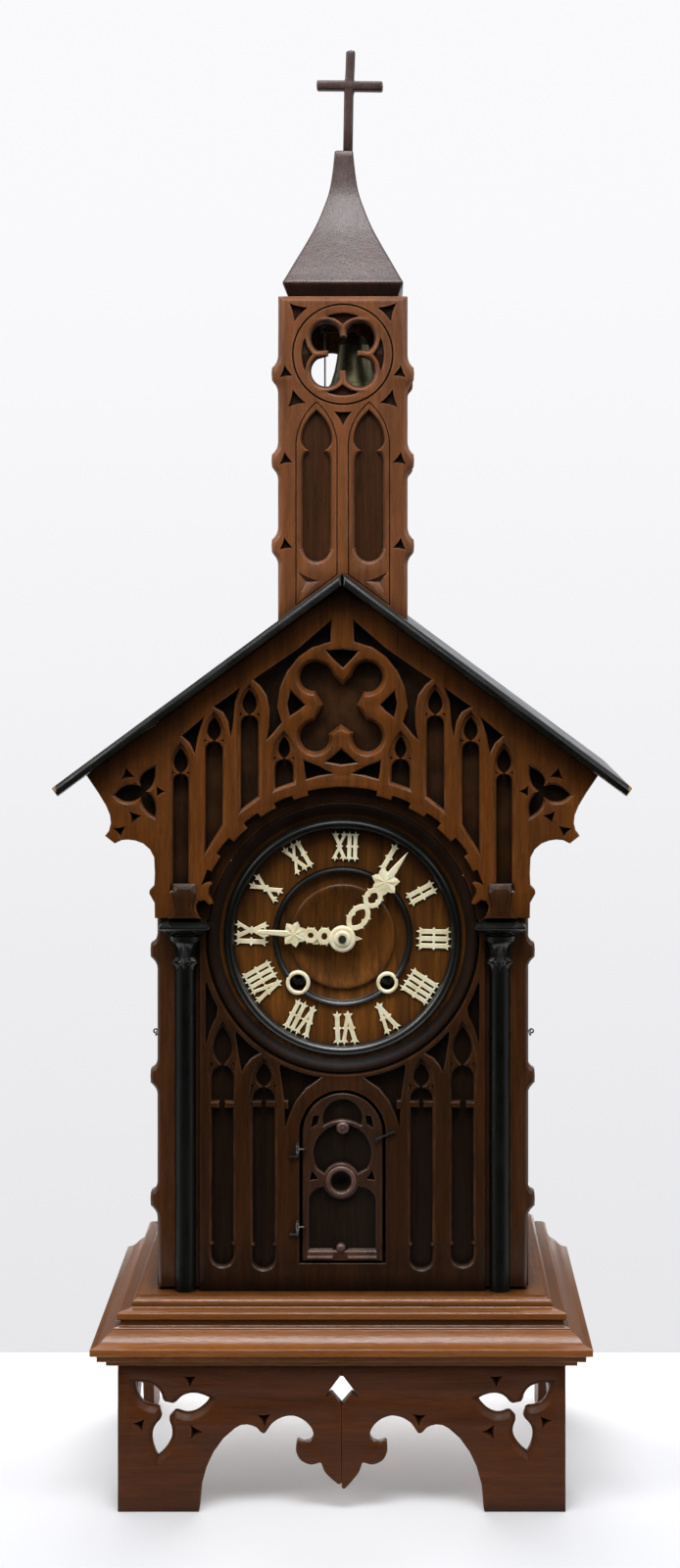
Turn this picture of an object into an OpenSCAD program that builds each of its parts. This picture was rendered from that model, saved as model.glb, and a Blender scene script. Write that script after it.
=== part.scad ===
// Automaton shelf clock shaped as a gothic chapel with a bell tower.
// Frame: +X to the right, +Y to the back, +Z up, millimetres.
// The origin is on the floor below the middle of the object.

/* [Base] */
// Height of the pierced feet under the plinth
foot_h = 98; // [90:1:98]
// Half width of the widest step of the plinth
plinth_hw = 167.4; // [166:0.2:168]
// Half depth of the plinth
plinth_hd = 107.5; // [106:0.5:109]
// Thickness of the foot boards
foot_t = 8; // [6:0.5:9]

/* [Case] */
// Half width of the case
case_hw = 127.5; // [126.5:0.5:128]
// Thickness of the case boards
board_t = 8; // [6:0.5:9]
// Radius of the columns beside the door
column_r = 7.3; // [6.5:0.1:7.8]

/* [Dial] */
// Height of the dial centre above the floor
dial_z = 379.2; // [379:0.1:379.6]
// Radius of the turned dial board
dial_r = 92; // [91:0.5:92.5]
// Radius on which the numerals stand
numeral_r = 62.8; // [62:0.1:63.4]

/* [Roof and tower] */
// Height of the roof ridge
ridge_z = 628; // [627:0.5:629]
// Thickness of the roof boards, square to the slope
roof_t = 7; // [6:0.5:7.5]
// Half width of the tower
tower_hw = 44.5; // [44:0.1:45]
// Height of the top of the tower walls
tower_z = 818; // [816:0.5:820]
// Height of the top of the cross
cross_z = 996; // [990:1:1000]

/* [Hidden] */
$fn = 64;

// planes along Y
facade_y = -67.5;        // front of the facade board
gable_y = -76.5;         // front of the gable tracery
inner_y = facade_y + 10; // back of the facade board
back_y = 98;             // back of the case
plinth_z = foot_h + 40.5;
slope = 0.74;            // rise of the roof for one unit of run
roof_v = roof_t * sqrt(1 + slope * slope);
under_z = ridge_z - roof_v;
tower_y0 = -62;
tower_y1 = 26;
tower_in = tower_hw - 6;

// movement, from the dial centre
wind_x = 30.5;
wind_z = -31.366;
third = [-4.8, 27.18];
escape = [0, 48.1];
pallet = [0, 68.1];
pinw = [-38.1, 11.72];
flyp = [-31.9, 34.9];
hamm = [-62, -2];

walnut = [0.34, 0.19, 0.11];
redbrown = [0.38, 0.2, 0.13];
ebony = [0.06, 0.06, 0.055];
bone = [0.9, 0.85, 0.7];
brass = [0.72, 0.58, 0.3];
steel = [0.55, 0.55, 0.55];

// ---- helpers ----
// a flat outline in X and Z, from y0 back to y1
module board(y0, y1) { translate([0, y1, 0]) rotate([90, 0, 0]) linear_extrude(y1 - y0) children(); }
// a flat outline in Y and Z, from x0 to x1
module side(x0, x1) { translate([x0, 0, 0]) rotate([90, 0, 90]) linear_extrude(x1 - x0) children(); }
module box(x0, x1, y0, y1, z0, z1) { translate([x0, y0, z0]) cube([x1 - x0, y1 - y0, z1 - z0]); }
module rod_y(x, z, y0, y1, r) { translate([x, y1, z]) rotate([90, 0, 0]) cylinder(r = r, h = y1 - y0); }
module rod_x(x0, x1, y, z, r) { translate([x0, y, z]) rotate([0, 90, 0]) cylinder(r = r, h = x1 - x0); }
module rod_z(x, y, z0, z1, r) { translate([x, y, z0]) cylinder(r = r, h = z1 - z0); }
module sym() { children(); mirror([1, 0, 0]) children(); }
// a straight bar in X and Z between two points
module bar(a, b, w) { d = b - a; translate(a) rotate(atan2(d[1], d[0])) translate([0, -w / 2]) square([norm(d), w]); }

// pointed oval of width w and height h, its points at the ends of the longer side
module lens(x, z, w, h) {
    a = min(w, h) / 2; b = max(w, h) / 2; r = (a * a + b * b) / (2 * a);
    translate([x, z]) rotate(h < w ? 90 : 0) intersection() { translate([r - a, 0]) circle(r); translate([a - r, 0]) circle(r); }
}
// lancet opening with a pointed head, a cusped neck and a straight body
module lancet(x, z0, zn, z1, w, neck = 0.5, foot = 0) {
    lens(x, (zn + z1) / 2, w, z1 - zn + 4);
    translate([x - w * neck / 2, zn - w * 0.45]) square([w * neck, w * 0.9]);
    translate([x, zn - w / 2 - 1]) circle(w / 2);
    translate([x - w / 2, z0 + (foot ? w / 2 : 0)]) square([w, zn - w / 2 - 1 - z0 - (foot ? w / 2 : 0)]);
    if (foot) translate([x, z0 + w / 2]) circle(w / 2);
}
// plain pointed opening
module arch(x, z0, z1, w, rise) {
    translate([x - w / 2, z0]) square([w, z1 - rise - z0]);
    intersection() {
        lens(x, z1 - rise, w, 2 * rise);
        translate([x - w, z1 - rise - 1]) square([2 * w, rise + 2]);
    }
}
// three pointed leaves from one centre
module trefoil(x, z, rot, len, w) {
    translate([x, z]) for (i = [0:2]) rotate(rot + 120 * i) lens(0, len / 2, w, len);
    translate([x, z]) circle(w * 0.32);
}
module quatrefoil(x, z, off, r) {
    for (i = [-1, 1], j = [-1, 1]) translate([x + i * off, z + j * off]) circle(r);
    translate([x - off * 0.75, z - off * 0.75]) square(off * 1.5);
}
// edge knob that stands out of a board's side, tip at x, centre height z
module crocket(x, z, out, h) {
    difference() {
        translate([x - out - 1, z - h]) square([out + 1, 2 * h]);
        translate([x, z + h + 1.5]) circle(h * 0.72 + 1.5);
        translate([x, z - h - 1.5]) circle(h * 0.72 + 1.5);
    }
}
// spur wheel or pinion: n teeth of module m, thinned for play
function gear_pts(n, m, k, add, ded, tip, root) = let (rp = m * n / 2, hp = 90 / n * k)
    [for (i = [0:n - 1], p = [[rp - ded * m, -hp * root], [rp, -hp], [rp + add * m / 2, -hp * (1 + tip) * 0.53], [rp + add * m, -hp * tip],
        [rp + add * m, hp * tip], [rp + add * m / 2, hp * (1 + tip) * 0.53], [rp, hp], [rp - ded * m, hp * root]])
        [p[0] * cos(360 * i / n + p[1]), p[0] * sin(360 * i / n + p[1])]];
module wheel2(n, m) { polygon(gear_pts(n, m, 0.72, 0.75, 1.0, 0.4, 1.2)); }
module pinion2(n, m) { polygon(gear_pts(n, m, 0.7, 0.6, 1.25, 0.5, 0.8)); }
// places a toothed outline at a point from the dial centre, turned by rot, from y0 to y1
module at(p, y0, y1, rot = 0) { board(y0, y1) translate([p[0], dial_z + p[1]]) rotate(rot) children(); }
// crossed-out wheel: rim, hub and four arms
module crossed(n, m, hub, rim) {
    difference() {
        wheel2(n, m);
        difference() { circle(m * n / 2 - rim); circle(hub); for (a = [0, 90]) rotate(a) square([m * n, hub * 0.9], center = true); }
    }
}
// slab of the plinth: half width h at every step, flush at the back
module slab(h, z0, z1) { box(-h, h, -(h - plinth_hw + plinth_hd), plinth_hd, z0, z1); }
// slab whose half width runs from h0 to h1
module flare(h0, z0, h1, z1) {
    f0 = -(h0 - plinth_hw + plinth_hd); f1 = -(h1 - plinth_hw + plinth_hd); b = plinth_hd;
    polyhedron([[-h0, f0, z0], [h0, f0, z0], [h0, b, z0], [-h0, b, z0], [-h1, f1, z1], [h1, f1, z1], [h1, b, z1], [-h1, b, z1]],
        [[0, 1, 2, 3], [4, 7, 6, 5], [0, 4, 5, 1], [1, 5, 6, 2], [2, 6, 7, 3], [3, 7, 4, 0]]);
}

// ---- feet ----
// half of the front foot: leg, pointed arch and one scroll of the pendant in the middle
module foot_outline() {
    difference() {
        polygon([[-150, foot_h], [-150, 0], [-95, 0], [-94.9, 4], [-93.6, 18], [-90.3, 30], [-85.7, 40], [-79, 49.2], [-71.3, 56], [-63.4, 58.4],
            [-56.8, 56.4], [-52.9, 53.2], [-49.6, 54.5], [-45.7, 59.7], [-39.8, 63], [-33.2, 64.3], [-25.4, 61], [-20.1, 55.8], [-18.8, 50.5],
            [-20.8, 46.6], [-25.4, 45.6], [-28.7, 46.9], [-30, 42.7], [-30, 39.4], [-26.7, 34.1], [-20.1, 31.5], [-13.6, 32.8], [-11, 28.2],
            [-7, 23], [-2.4, 18.4], [0, 18.4], [0, foot_h]]);
        // half of the middle diamond
        translate([0, 81]) rotate(45) square(13, center = true);
        trefoil(-117.2, 67.6, 49, 34, 12.5);
    }
}
module foot_front_left() { color(walnut) board(-97.5, -97.5 + foot_t) foot_outline(); }
module foot_front_right() { color(walnut) mirror([1, 0, 0]) board(-97.5, -97.5 + foot_t) foot_outline(); }
module foot_side_outline() {
    y0 = -97.5 + foot_t;
    difference() {
        translate([y0, 0]) square([97.5 - y0, foot_h]);
        polygon([[-50, -1], [-49, 18], [-45.7, 30], [-41, 40], [-34.5, 49.2], [-26.7, 56], [-18.8, 58.4], [-12.2, 56.4], [-8.3, 53.2], [-3, 57], [4, 59.5],
            [11, 57], [16.3, 53.2], [20.2, 56.4], [26.8, 58.4], [34.7, 56], [42.5, 49.2], [49, 40], [53.7, 30], [57, 18], [58, -1]]);
        trefoil(-68, 66, 49, 26, 11);
        trefoil(77, 66, -49, 26, 11);
    }
}
module foot_side_left() { color(walnut) side(-150, -150 + foot_t) foot_side_outline(); }
module foot_side_right() { color(walnut) side(150 - foot_t, 150) foot_side_outline(); }

// ---- plinth ----
module plinth_lower() {
    color(walnut) { h = plinth_hw; z = foot_h;
        slab(h - 9.6, z, z + 4.4); slab(h - 4.1, z + 4.4, z + 9); slab(h, z + 9, z + 14);
        flare(h, z + 14, h - 6, z + 18); flare(h - 6, z + 18, h - 14.1, z + 22.9); slab(h - 14.1, z + 22.9, z + 24.5);
    }
}
module plinth_upper() {
    color(walnut) { h = plinth_hw; z = foot_h;
        slab(h - 17.9, z + 24.5, z + 28); slab(h - 16.4, z + 28, z + 32.5); flare(h - 16.4, z + 32.5, h - 24.5, z + 34.2);
        flare(h - 24.5, z + 34.2, h - 26.5, z + 37); slab(h - 29.9, z + 37, z + 40.5);
    }
}

// ---- case ----
module gable_top(hw, z0) { polygon([[-hw, z0], [hw, z0], [hw, under_z - slope * hw], [0, under_z], [-hw, under_z - slope * hw]]); }
module door_hole(r, z0) { translate([-r, z0]) square([2 * r, 246 - z0]); translate([0, 246]) circle(r); }
module facade_board() {
    color(walnut) board(facade_y, inner_y) {
        difference() {
            union() { gable_top(case_hw, plinth_z); sym() wing_outline(dial_r); }
            translate([0, dial_z]) circle(dial_r);
            door_hole(29.4, 157);
        }
        sym() for (z = [370, 284, 200]) crocket(case_hw + 4.2, z, 5, 9);
    }
}
module facade_tracery() {
    color(walnut) board(facade_y - 3, facade_y) difference() {
        translate([-96, plinth_z]) square([192, 230]);
        translate([0, dial_z]) circle(93.5);
        door_hole(29.4, 157);
        translate([-97, 337]) square([200, 40]);
        sym() {
            lancet(-82, 155, 292, 320, 14.6, 0.5, 1);
            lancet(-53.8, 155, 277, 294.5, 14.6, 0.5, 1);
            translate([-74, 299]) square([9, 9]);
        }
    }
}
module column(s) {
    x = s * 107.3; y = facade_y + 1;
    difference() {
        union() {
            rod_z(x, y, plinth_z, 363, column_r);
            translate([x, y, 362]) cylinder(r1 = 8.6, r2 = 8.6, h = 3);
            translate([x, y, 365]) cylinder(r1 = 7.6, r2 = 10.6, h = 13.5);
            translate([x, y, 378.5]) cylinder(r = 10.8, h = 4.5);
            box(x - 17.3, x + 17.3, y - 14.5, y + 6, 383, 393);
        }
        box(x - 30, x + 30, facade_y, facade_y + 40, plinth_z - 1, 400);
    }
}
module column_left() { color(ebony) column(-1); }
module column_right() { color(ebony) column(1); }
module wing_outline(arch_r) {
    // half of the gable front: wing under the eaves, ear, pilaster and arch
    difference() {
        union() {
            polygon([[0, under_z], [-174, under_z - slope * 174], [-166, 479], [-160.6, 470], [-157.5, 461], [-158.6, 453], [-161.3, 449.6],
                [-154.6, 444.3], [-148, 446.9], [-140.6, 446.3], [-133, 442.5], [-127.5, 435], [-127.5, 414], [-131.5, 411], [-127.5, 404],
                [-127.5, 393], [0.5, 393]]);
        }
        translate([0, dial_z]) circle(arch_r);
    }
}
module gable_tracery() {
    color(walnut) {
        board(gable_y, facade_y) difference() {
            sym() wing_outline(102.3);
            sym() {
                trefoil(-134, 478, -28, 21, 10);
                lancet(-110, 414, 491, 509.5, 12, 0.55);
                lancet(-87.4, 447, 513.5, 530.7, 12, 0.55);
                lancet(-62.6, 474, 530, 549.4, 12, 0.55);
                lancet(-39.5, 484, 501, 517.4, 12, 0.6);
                polygon([[-8.5, 597], [-8.5, 582], [-26, 574], [-34, 566], [-34, 575]]);
                polygon([[-26, 499], [-10, 499], [-7.5, 492.5]]);
            }
            quatrefoil(-0.5, 537.7, 18.5, 12.7);
        }
        // pilaster ends that stand on the capitals
        for (s = [-1, 1]) box(s * 107.3 - 8, s * 107.3 + 8, gable_y - 3, gable_y, 398, 413);
        for (s = [-1, 1]) box(s * 107.3 - 17, s * 107.3 + 17, gable_y - 4, gable_y, 393, 398);
    }
}
module side_panel(s) {
    x0 = s < 0 ? -case_hw : case_hw - board_t;
    a = under_z - slope * case_hw; b = under_z - slope * (case_hw - board_t);
    difference() {
        board(inner_y, back_y) polygon([[x0, plinth_z], [x0 + board_t, plinth_z], [x0 + board_t, s < 0 ? b : a], [x0, s < 0 ? a : b]]);
        box(x0 - 1, x0 + board_t + 1, -38.5, 78.5, 165, 455);
    }
}
module case_side_left() { color(walnut) side_panel(-1); }
module case_side_right() { color(walnut) side_panel(1); }
module case_back() {
    color(walnut) board(back_y - board_t, back_y) difference() {
        gable_top(case_hw - board_t, plinth_z);
        translate([-88, 165]) square([176, 305]);
    }
}
module roof(s) {
    nx = roof_t * slope / sqrt(1 + slope * slope); nz = roof_t / sqrt(1 + slope * slope);
    difference() {
        board(-88, 105) polygon([[0, ridge_z], [s * 196, ridge_z - slope * 196], [s * (196 - nx), ridge_z - slope * 196 - nz], [0, under_z]]);
        box(s < 0 ? -36 : -1, s < 0 ? 1 : 36, tower_y0 + 8, tower_y1 - 8, 560, 660);
    }
}
module roof_left() { color(ebony) roof(-1); }
module roof_right() { color(ebony) roof(1); }

// ---- tower ----
module tower_outline() {
    hw = tower_hw;
    polygon([[-hw, ridge_z - slope * hw], [0, ridge_z], [hw, ridge_z - slope * hw], [hw, tower_z], [-hw, tower_z]]);
    sym() for (z = [764.5, 705, 646.5]) crocket(hw + 4.4, z, 5, 10);
}
module tower_front() {
    color(redbrown) difference() {
        board(tower_y0, tower_y0 + 6) difference() {
            tower_outline();
            quatrefoil(0, 777.5, 11.6, 10);
        }
        board(tower_y0 - 1, tower_y0 + 3) sym() lancet(-18, 638, 711, 740, 20, 0.5, 1);
    }
}
module tower_side(s) {
    x0 = s < 0 ? -tower_hw : tower_in;
    a = ridge_z - slope * tower_hw; b = ridge_z - slope * tower_in;
    difference() {
        board(tower_y0 + 6, tower_y1 - 6) polygon([[x0, s < 0 ? a : b], [x0 + 6, s < 0 ? b : a], [x0 + 6, tower_z], [x0, tower_z]]);
        side(s < 0 ? x0 - 1 : x0 + 3, s < 0 ? x0 + 3 : x0 + 7) for (i = [-1, 1]) lancet(-18 + i * 18, 638, 711, 740, 18, 0.5, 1);
        side(x0 - 1, x0 + 7) quatrefoil(-18, 777.5, 11.6, 10);
    }
}
module tower_side_left() { color(redbrown) tower_side(-1); }
module tower_side_right() { color(redbrown) tower_side(1); }
module tower_back() {
    color(redbrown) board(tower_y1 - 6, tower_y1) difference() {
        tower_outline();
        translate([-10, 770]) circle(16);
    }
}
// concave pyramid: half width at the height share t
function spire_hw(t) = 6.4 + 35.1 * pow(1 - t, 1.78);
spire_n = 14;
module spire() {
    z0 = tower_z; z1 = tower_z + 9.5; z2 = cross_z - 71.5; yc = (tower_y0 + tower_y1) / 2;
    rings = concat([[37.4, z0]], [for (i = [0:spire_n]) [spire_hw(i / spire_n), z1 + (z2 - z1) * i / spire_n]]);
    n = len(rings);
    color(redbrown) polyhedron(
        [for (r = rings, c = [[-1, -1], [1, -1], [1, 1], [-1, 1]]) [c[0] * r[0], yc + c[1] * r[0], r[1]]],
        concat([[0, 1, 2, 3]], [for (k = [0:n - 2], i = [0:3]) [4 * k + i, 4 * k + 4 + i, 4 * k + 4 + (i + 1) % 4, 4 * k + (i + 1) % 4]],
            [[4 * n - 1, 4 * n - 2, 4 * n - 3, 4 * n - 4]]));
}
module cross() {
    color(redbrown) translate([2.2, -18, cross_z - 71.5]) {
        board(-3.5, 3.5) { polygon([[-3.5, 0], [3.5, 0], [5.7, 71.3], [-1.3, 71.5]]); polygon([[-21.5, 43.6], [25.4, 42.8], [25.4, 49.4], [-21.5, 50.2]]); }
    }
}

// ---- dial ----
module turned(y, pts) { translate([0, y, dial_z]) rotate([90, 0, 0]) rotate_extrude($fn = 96) polygon(pts); }
module dial_board() {
    color(redbrown) difference() {
        turned(inner_y, [[4, 0], [dial_r, 0], [dial_r, 10], [89, 9.4], [84, 7.4], [80.5, 6.5], [47.4, 6.5], [47.4, 8], [46.6, 9.2], [44.8, 9.2], [44.1, 8],
            [44.1, 5.5], [38, 5.5], [35.4, 7], [33, 7.6], [28, 6], [20, 4.4], [10, 4.2], [4, 4.2]]);
        for (s = [-1, 1]) rod_y(s * wind_x, dial_z + wind_z, -70, -50, 5.6);
        // seats of the two bone rings
        rod_y(-wind_x, dial_z + wind_z, -70, -64, 8.3);
        rod_y(wind_x, dial_z + wind_z, -70, -64, 7.4);
    }
}
module dial_bezel() {
    color(ebony) turned(inner_y - 6.5, [[74.2, 0], [80.2, 0], [80.2, 4], [79, 6.2], [77, 7], [75, 6.2], [74.2, 4]]);
}
// strokes of one numeral drawn in a cell: x centres, slant and width
module stroke(x0, x1, w) { h = 11.2; polygon([[x0 - w / 2, -h], [x0 + w / 2, -h], [x1 + w / 2, h], [x1 - w / 2, h]]); }
module serifs(a, b) { for (z = [-11.2, 9.2]) translate([a, z]) square([b - a, 2]); }
module numeral_i(n, x0) { for (i = [0:n - 1]) translate([x0 + i * 4.2, 0]) { stroke(0, 0, 2.2); } }
module numeral(k) {
    if (k <= 4) { numeral_i(k, -2.1 * (k - 1)); serifs(-2.1 * (k - 1) - 2, 2.1 * (k - 1) + 2); }
    if (k >= 5 && k <= 8) {
        x = -2.1 * (k - 5);
        stroke(x + 0.5, x - 3, 2.4); stroke(x, x + 3, 1.2); serifs(x - 5, x + 4.6);
        if (k > 5) { numeral_i(k - 5, x + 6.4); serifs(x - 5, x + 6.4 + 4.2 * (k - 6) + 2); }
    }
    if (k == 9) { numeral_i(1, -5.4); stroke(4.6, -1.6, 2.4); stroke(-1.6, 4.6, 1.2); serifs(-7.4, 6.6); }
    if (k >= 10) {
        x = -2.6 * (k - 10);
        stroke(x + 3.1, x - 3.1, 2.4); stroke(x - 3.1, x + 3.1, 1.2); serifs(x - 5, x + 5);
        if (k > 10) { numeral_i(k - 10, x + 7); serifs(x - 5, x + 7 + 4.2 * (k - 11) + 2); }
    }
}
module numerals() {
    color(bone) board(-65.2, -64) intersection() {
        translate([0, dial_z]) circle(73.8);
        for (k = [1:12]) translate([0, dial_z]) rotate(-30 * k) translate([0, numeral_r]) numeral(k);
    }
}
module winding_grommets() {
    color(bone) {
        for (g = [[-1, 8.3, 5.7], [1, 7.4, 4.8]]) difference() {
            rod_y(g[0] * wind_x, dial_z + wind_z, -65.6, -64, g[1]);
            rod_y(g[0] * wind_x, dial_z + wind_z, -66, -63, g[2]);
        }
    }
}
// ---- hands ----
module leaf(x, z, r) { for (i = [0:6]) translate([x, z]) rotate(i * 360 / 7) lens(0, r * 0.55, r * 0.55, r * 1.1); }
module minute_hand() {
    color(bone) difference() {
        at([0, 0], -72.4, -71.2, 52.8) {
            difference() {
                union() { circle(6); lens(20, 0, 36, 11); leaf(44, 0, 9); translate([30, -1.2]) square([14, 2.4]); polygon([[44, -3], [73, -0.5], [73, 0.5], [44, 3]]); }
                lens(13, 0, 8, 4); lens(24, 0, 9, 4.4);
            }
        }
        rod_y(0, dial_z, -75, -69, 2.5);
    }
}
module hour_hand() {
    color(bone) difference() {
        at([0, 0], -69.4, -68.2, 176) {
            difference() {
                union() { circle(7); lens(16, 0, 30, 12); leaf(33, 0, 8.5); translate([22, -1.4]) square([12, 2.8]); polygon([[33, -2.8], [56, -0.6], [56, 0.6], [33, 2.8]]); polygon([[-14, -0.6], [-4, -3], [-4, 3], [-14, 0.6]]); }
                lens(12, 0, 7, 4); lens(21, 0, 7, 4);
            }
        }
        rod_y(0, dial_z, -72, -66, 3.5);
    }
}
module hand_nut() {
    color(bone) difference() {
        translate([0, -72.4, dial_z]) rotate([90, 0, 0]) rotate_extrude() polygon([[2.5, 0], [9, 0], [9, 1.6], [7.6, 2.6], [5.6, 2.2], [5, 3.4], [2.5, 3.4]]);
        rod_x(-20, 20, -74.9, dial_z, 0.45);
    }
}
// ---- movement ----
module centre_arbor() {
    color(brass) {
        rod_y(0, dial_z, -77, -2, 2.5);
        at([0, 0], -52, -50.2, 0) pinion2(15, 0.6);
        at([0, 0], -46, -44.5, 100) crossed(84, 0.6, 5, 3);
        at([0, 0], -43, -39, -45.8) pinion2(10, 1.25);
    }
}
module hour_wheel() {
    color(brass) difference() {
        union() {
            rod_y(0, dial_z, -69.9, -53.5, 3.5);
            at([0, 0], -55.5, -53.5, 0) wheel2(48, 0.6);
        }
        rod_y(0, dial_z, -71, -50, 2.55);
    }
}
module minute_wheel() {
    color(brass) difference() {
        union() {
            at([18, 0], -52, -50.2, 180 + 4) wheel2(45, 0.6);
            at([18, 0], -56, -52, 180 + 15) pinion2(12, 0.6);
        }
        rod_y(18, dial_z, -57, -49.5, 1.55);
    }
}
// great wheel on its winding arbor, with the coiled mainspring in an open drum; open is 1 for a drum open at the back
module drum(s, y0, y1, n_rot, open) {
    translate([s * wind_x, open ? -39.5 : -12, dial_z + wind_z]) rotate([open ? -90 : 90, 0, 0]) rotate_extrude() {
        translate([3, 0]) square([24, 2]);
        translate([3, 0]) square([3.5, 27.5]);
        translate([25.5, 0]) square([1.5, 27.5]);
        for (r = [8.2:2.4:23]) translate([r, 1.5]) square([1.1, 22]);
    }
    at([s * wind_x, wind_z], y0, y1, n_rot) wheel2(60, 1.25);
    rod_y(s * wind_x, dial_z + wind_z, -49.6, -2, 3.4);
    rod_y(s * wind_x, dial_z + wind_z, -51, -49, 3.4);
    board(-61.5, -51) translate([s * wind_x, dial_z + wind_z]) square(4.2, center = true);
}
module going_great_wheel() { color(brass) drum(1, -42.5, -39.5, 134.2 + 3, 1); }
module strike_great_wheel() { color(brass) drum(-1, -12, -9, 100, 0); }
module spindle(p, y0, y1, r) { rod_y(p[0], dial_z + p[1], y0, y1, r); }
module third_wheel() {
    color(brass) { spindle(third, -49.4, -2, 1.2);
        at(third, -46.5, -44, 280 + 22.5) pinion2(8, 0.6);
        at(third, -30, -28.5, 77) crossed(78, 0.5, 4, 2.6);
    }
}
module escape_wheel() {
    color(brass) { spindle(escape, -49.4, -2, 1.2);
        at(escape, -30.5, -28, 257 + 22.5) pinion2(8, 0.5);
        at(escape, -16, -14.5) difference() {
            polygon([for (i = [0:35], p = [[12.2, 0], [14.2, 2.4], [14.2, 3], [12.2, 3.6]]) [p[0] * cos(10 * i + p[1]), p[0] * sin(10 * i + p[1])]]);
            difference() { circle(10.2); circle(3.5); for (a = [0, 90]) rotate(a) square([24, 2.6], center = true); }
        }
    }
}
module pin_wheel() {
    color(brass) { spindle(pinw, -49.4, -2, 1.5);
        at(pinw, -12.5, -8.5, 280 + 18) pinion2(10, 1.25);
        at(pinw, -43.5, -42, 75) crossed(72, 0.6, 5, 5.8);
        for (i = [0:9]) spindle(pinw + 18 * [cos(36 * i), sin(36 * i)], -43, -40.4, 0.8);
    }
}
module fly() {
    color(brass) { spindle(flyp, -49.4, -2, 1);
        at(flyp, -44.5, -41.5, 255 + 22.5) pinion2(8, 0.6);
        at(flyp, -27, -19) square([15, 1], center = true);
        spindle(flyp, -27.5, -18.5, 1.8);
    }
}
module movement_frame() {
    color(brass) difference() {
        union() {
            box(-71, 71, -49, -47, dial_z - 72, dial_z + 76);
            box(-71, 71, -5, -3, dial_z - 72, dial_z + 76);
            for (x = [-66, 66], z = [-67, 71]) rod_y(x, dial_z + z, -47.5, -4.5, 3);
            rod_y(18, dial_z, -56.5, -48, 1.5);
        }
        for (p = [third, escape]) spindle(p, -60, 5, 1.25);
        spindle(pinw, -60, 5, 1.55);
        spindle(flyp, -60, 5, 1.05);
        spindle(hamm, -60, 5, 1.55);
        spindle(pallet, -60, 5, 1.55);
        rod_y(0, dial_z, -51, 5, 2.55);
        for (s = [-1, 1]) rod_y(s * wind_x, dial_z + wind_z, -60, 5, 3.45);
        // the centres of the plates are cut away
        box(-60, -6, -6, 5, dial_z + 54, dial_z + 66);
        box(6, 60, -60, 5, dial_z + 40, dial_z + 66);
    }
}
module seat_board() { color(walnut) box(-case_hw + board_t, case_hw - board_t, inner_y, -1.5, dial_z - 80, dial_z - 72); }
module pendulum() {
    color(brass) {
        spindle(pallet, -49.4, 25, 1.5);
        at(pallet, -16, -14.5) { circle(3.2); sym() { bar([0, 0], [13, -7.5], 3); } }
        rod_z(0, 23.5, 212, dial_z + pallet[1] + 2.5, 1.3);
        rod_y(0, 210, 20, 27, 18);
        rod_z(0, 23.5, 184, 195, 1.3);
        rod_z(0, 23.5, 187, 190, 3);
    }
}
module gong_post() { color(walnut) box(2, 18, 47.2, 60, plinth_z, 242); }
// flat spiral of steel strip
function spiral(a, o) = let (r = 10 + 34 * a / 1260 + o) [10 + r * cos(a + 180), 225 + r * sin(a + 180)];
module gong() {
    color(steel) {
        board(44.2, 46.2) polygon(concat([for (a = [0:15:1260]) spiral(a, -1)], [for (a = [1260:-15:0]) spiral(a, 1)]));
        rod_y(10, 225, 43.4, 47.2, 4);
        board(44.2, 46.2) translate([-1.5, 223.4]) square([10, 3.2]);
    }
}
module hammer() {
    color(steel) {
        spindle(hamm, -49.4, 46.2, 1.5);
        board(43.7, 46.7) { bar([hamm[0], dial_z + hamm[1]], [-37.4, 227], 2.4); translate([hamm[0], dial_z + hamm[1]]) circle(3); }
        rod_x(-43, -31.6, 45.2, 227, 4.6);
        at(hamm, -42, -40.4, 29.8) translate([0, -0.8]) square([8, 1.6]);
        spindle(hamm, -42, -40.4, 2.6);
    }
}
// ---- monk in the niche ----
niche_y1 = 15;
module niche() {
    color(walnut) difference() {
        box(-37, 37, inner_y, niche_y1 + 3, 149, 290);
        box(-34, 34, inner_y - 1, niche_y1, 154, 286);
        rod_z(-14, 1, 280, 300, 2);
    }
}
monk = [7, 1];
module monk_figure() {
    color([0.25, 0.17, 0.12]) difference() {
        union() {
            translate([monk[0], monk[1], 154]) rotate_extrude() polygon([[0, 0], [11, 0], [10, 4], [7, 36], [7.6, 40], [7.4, 56], [6, 62], [2.6, 66], [2.6, 70], [0, 70]]);
            translate([monk[0] - 0.6, monk[1], 229]) sphere(6.4);
        }
        rod_y(monk[0], 212, -20, 20, 1.25);
    }
}
module monk_arms() {
    color([0.25, 0.17, 0.12]) {
        rod_y(monk[0], 212, -10.6, 12.6, 1.2);
        for (s = [-1, 1]) hull() {
            translate([monk[0], 1 + s * 10, 212]) sphere(2.4, $fn = 24);
            translate([monk[0] - 11, 1 + s * 8.6, 215]) sphere(2.1, $fn = 24);
        }
        for (s = [-1, 1]) hull() {
            translate([monk[0] - 11, 1 + s * 8.6, 215]) sphere(2.1, $fn = 24);
            translate([-14, 1 + s * 2.9, 219]) sphere(1.8, $fn = 24);
        }
    }
}
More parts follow.
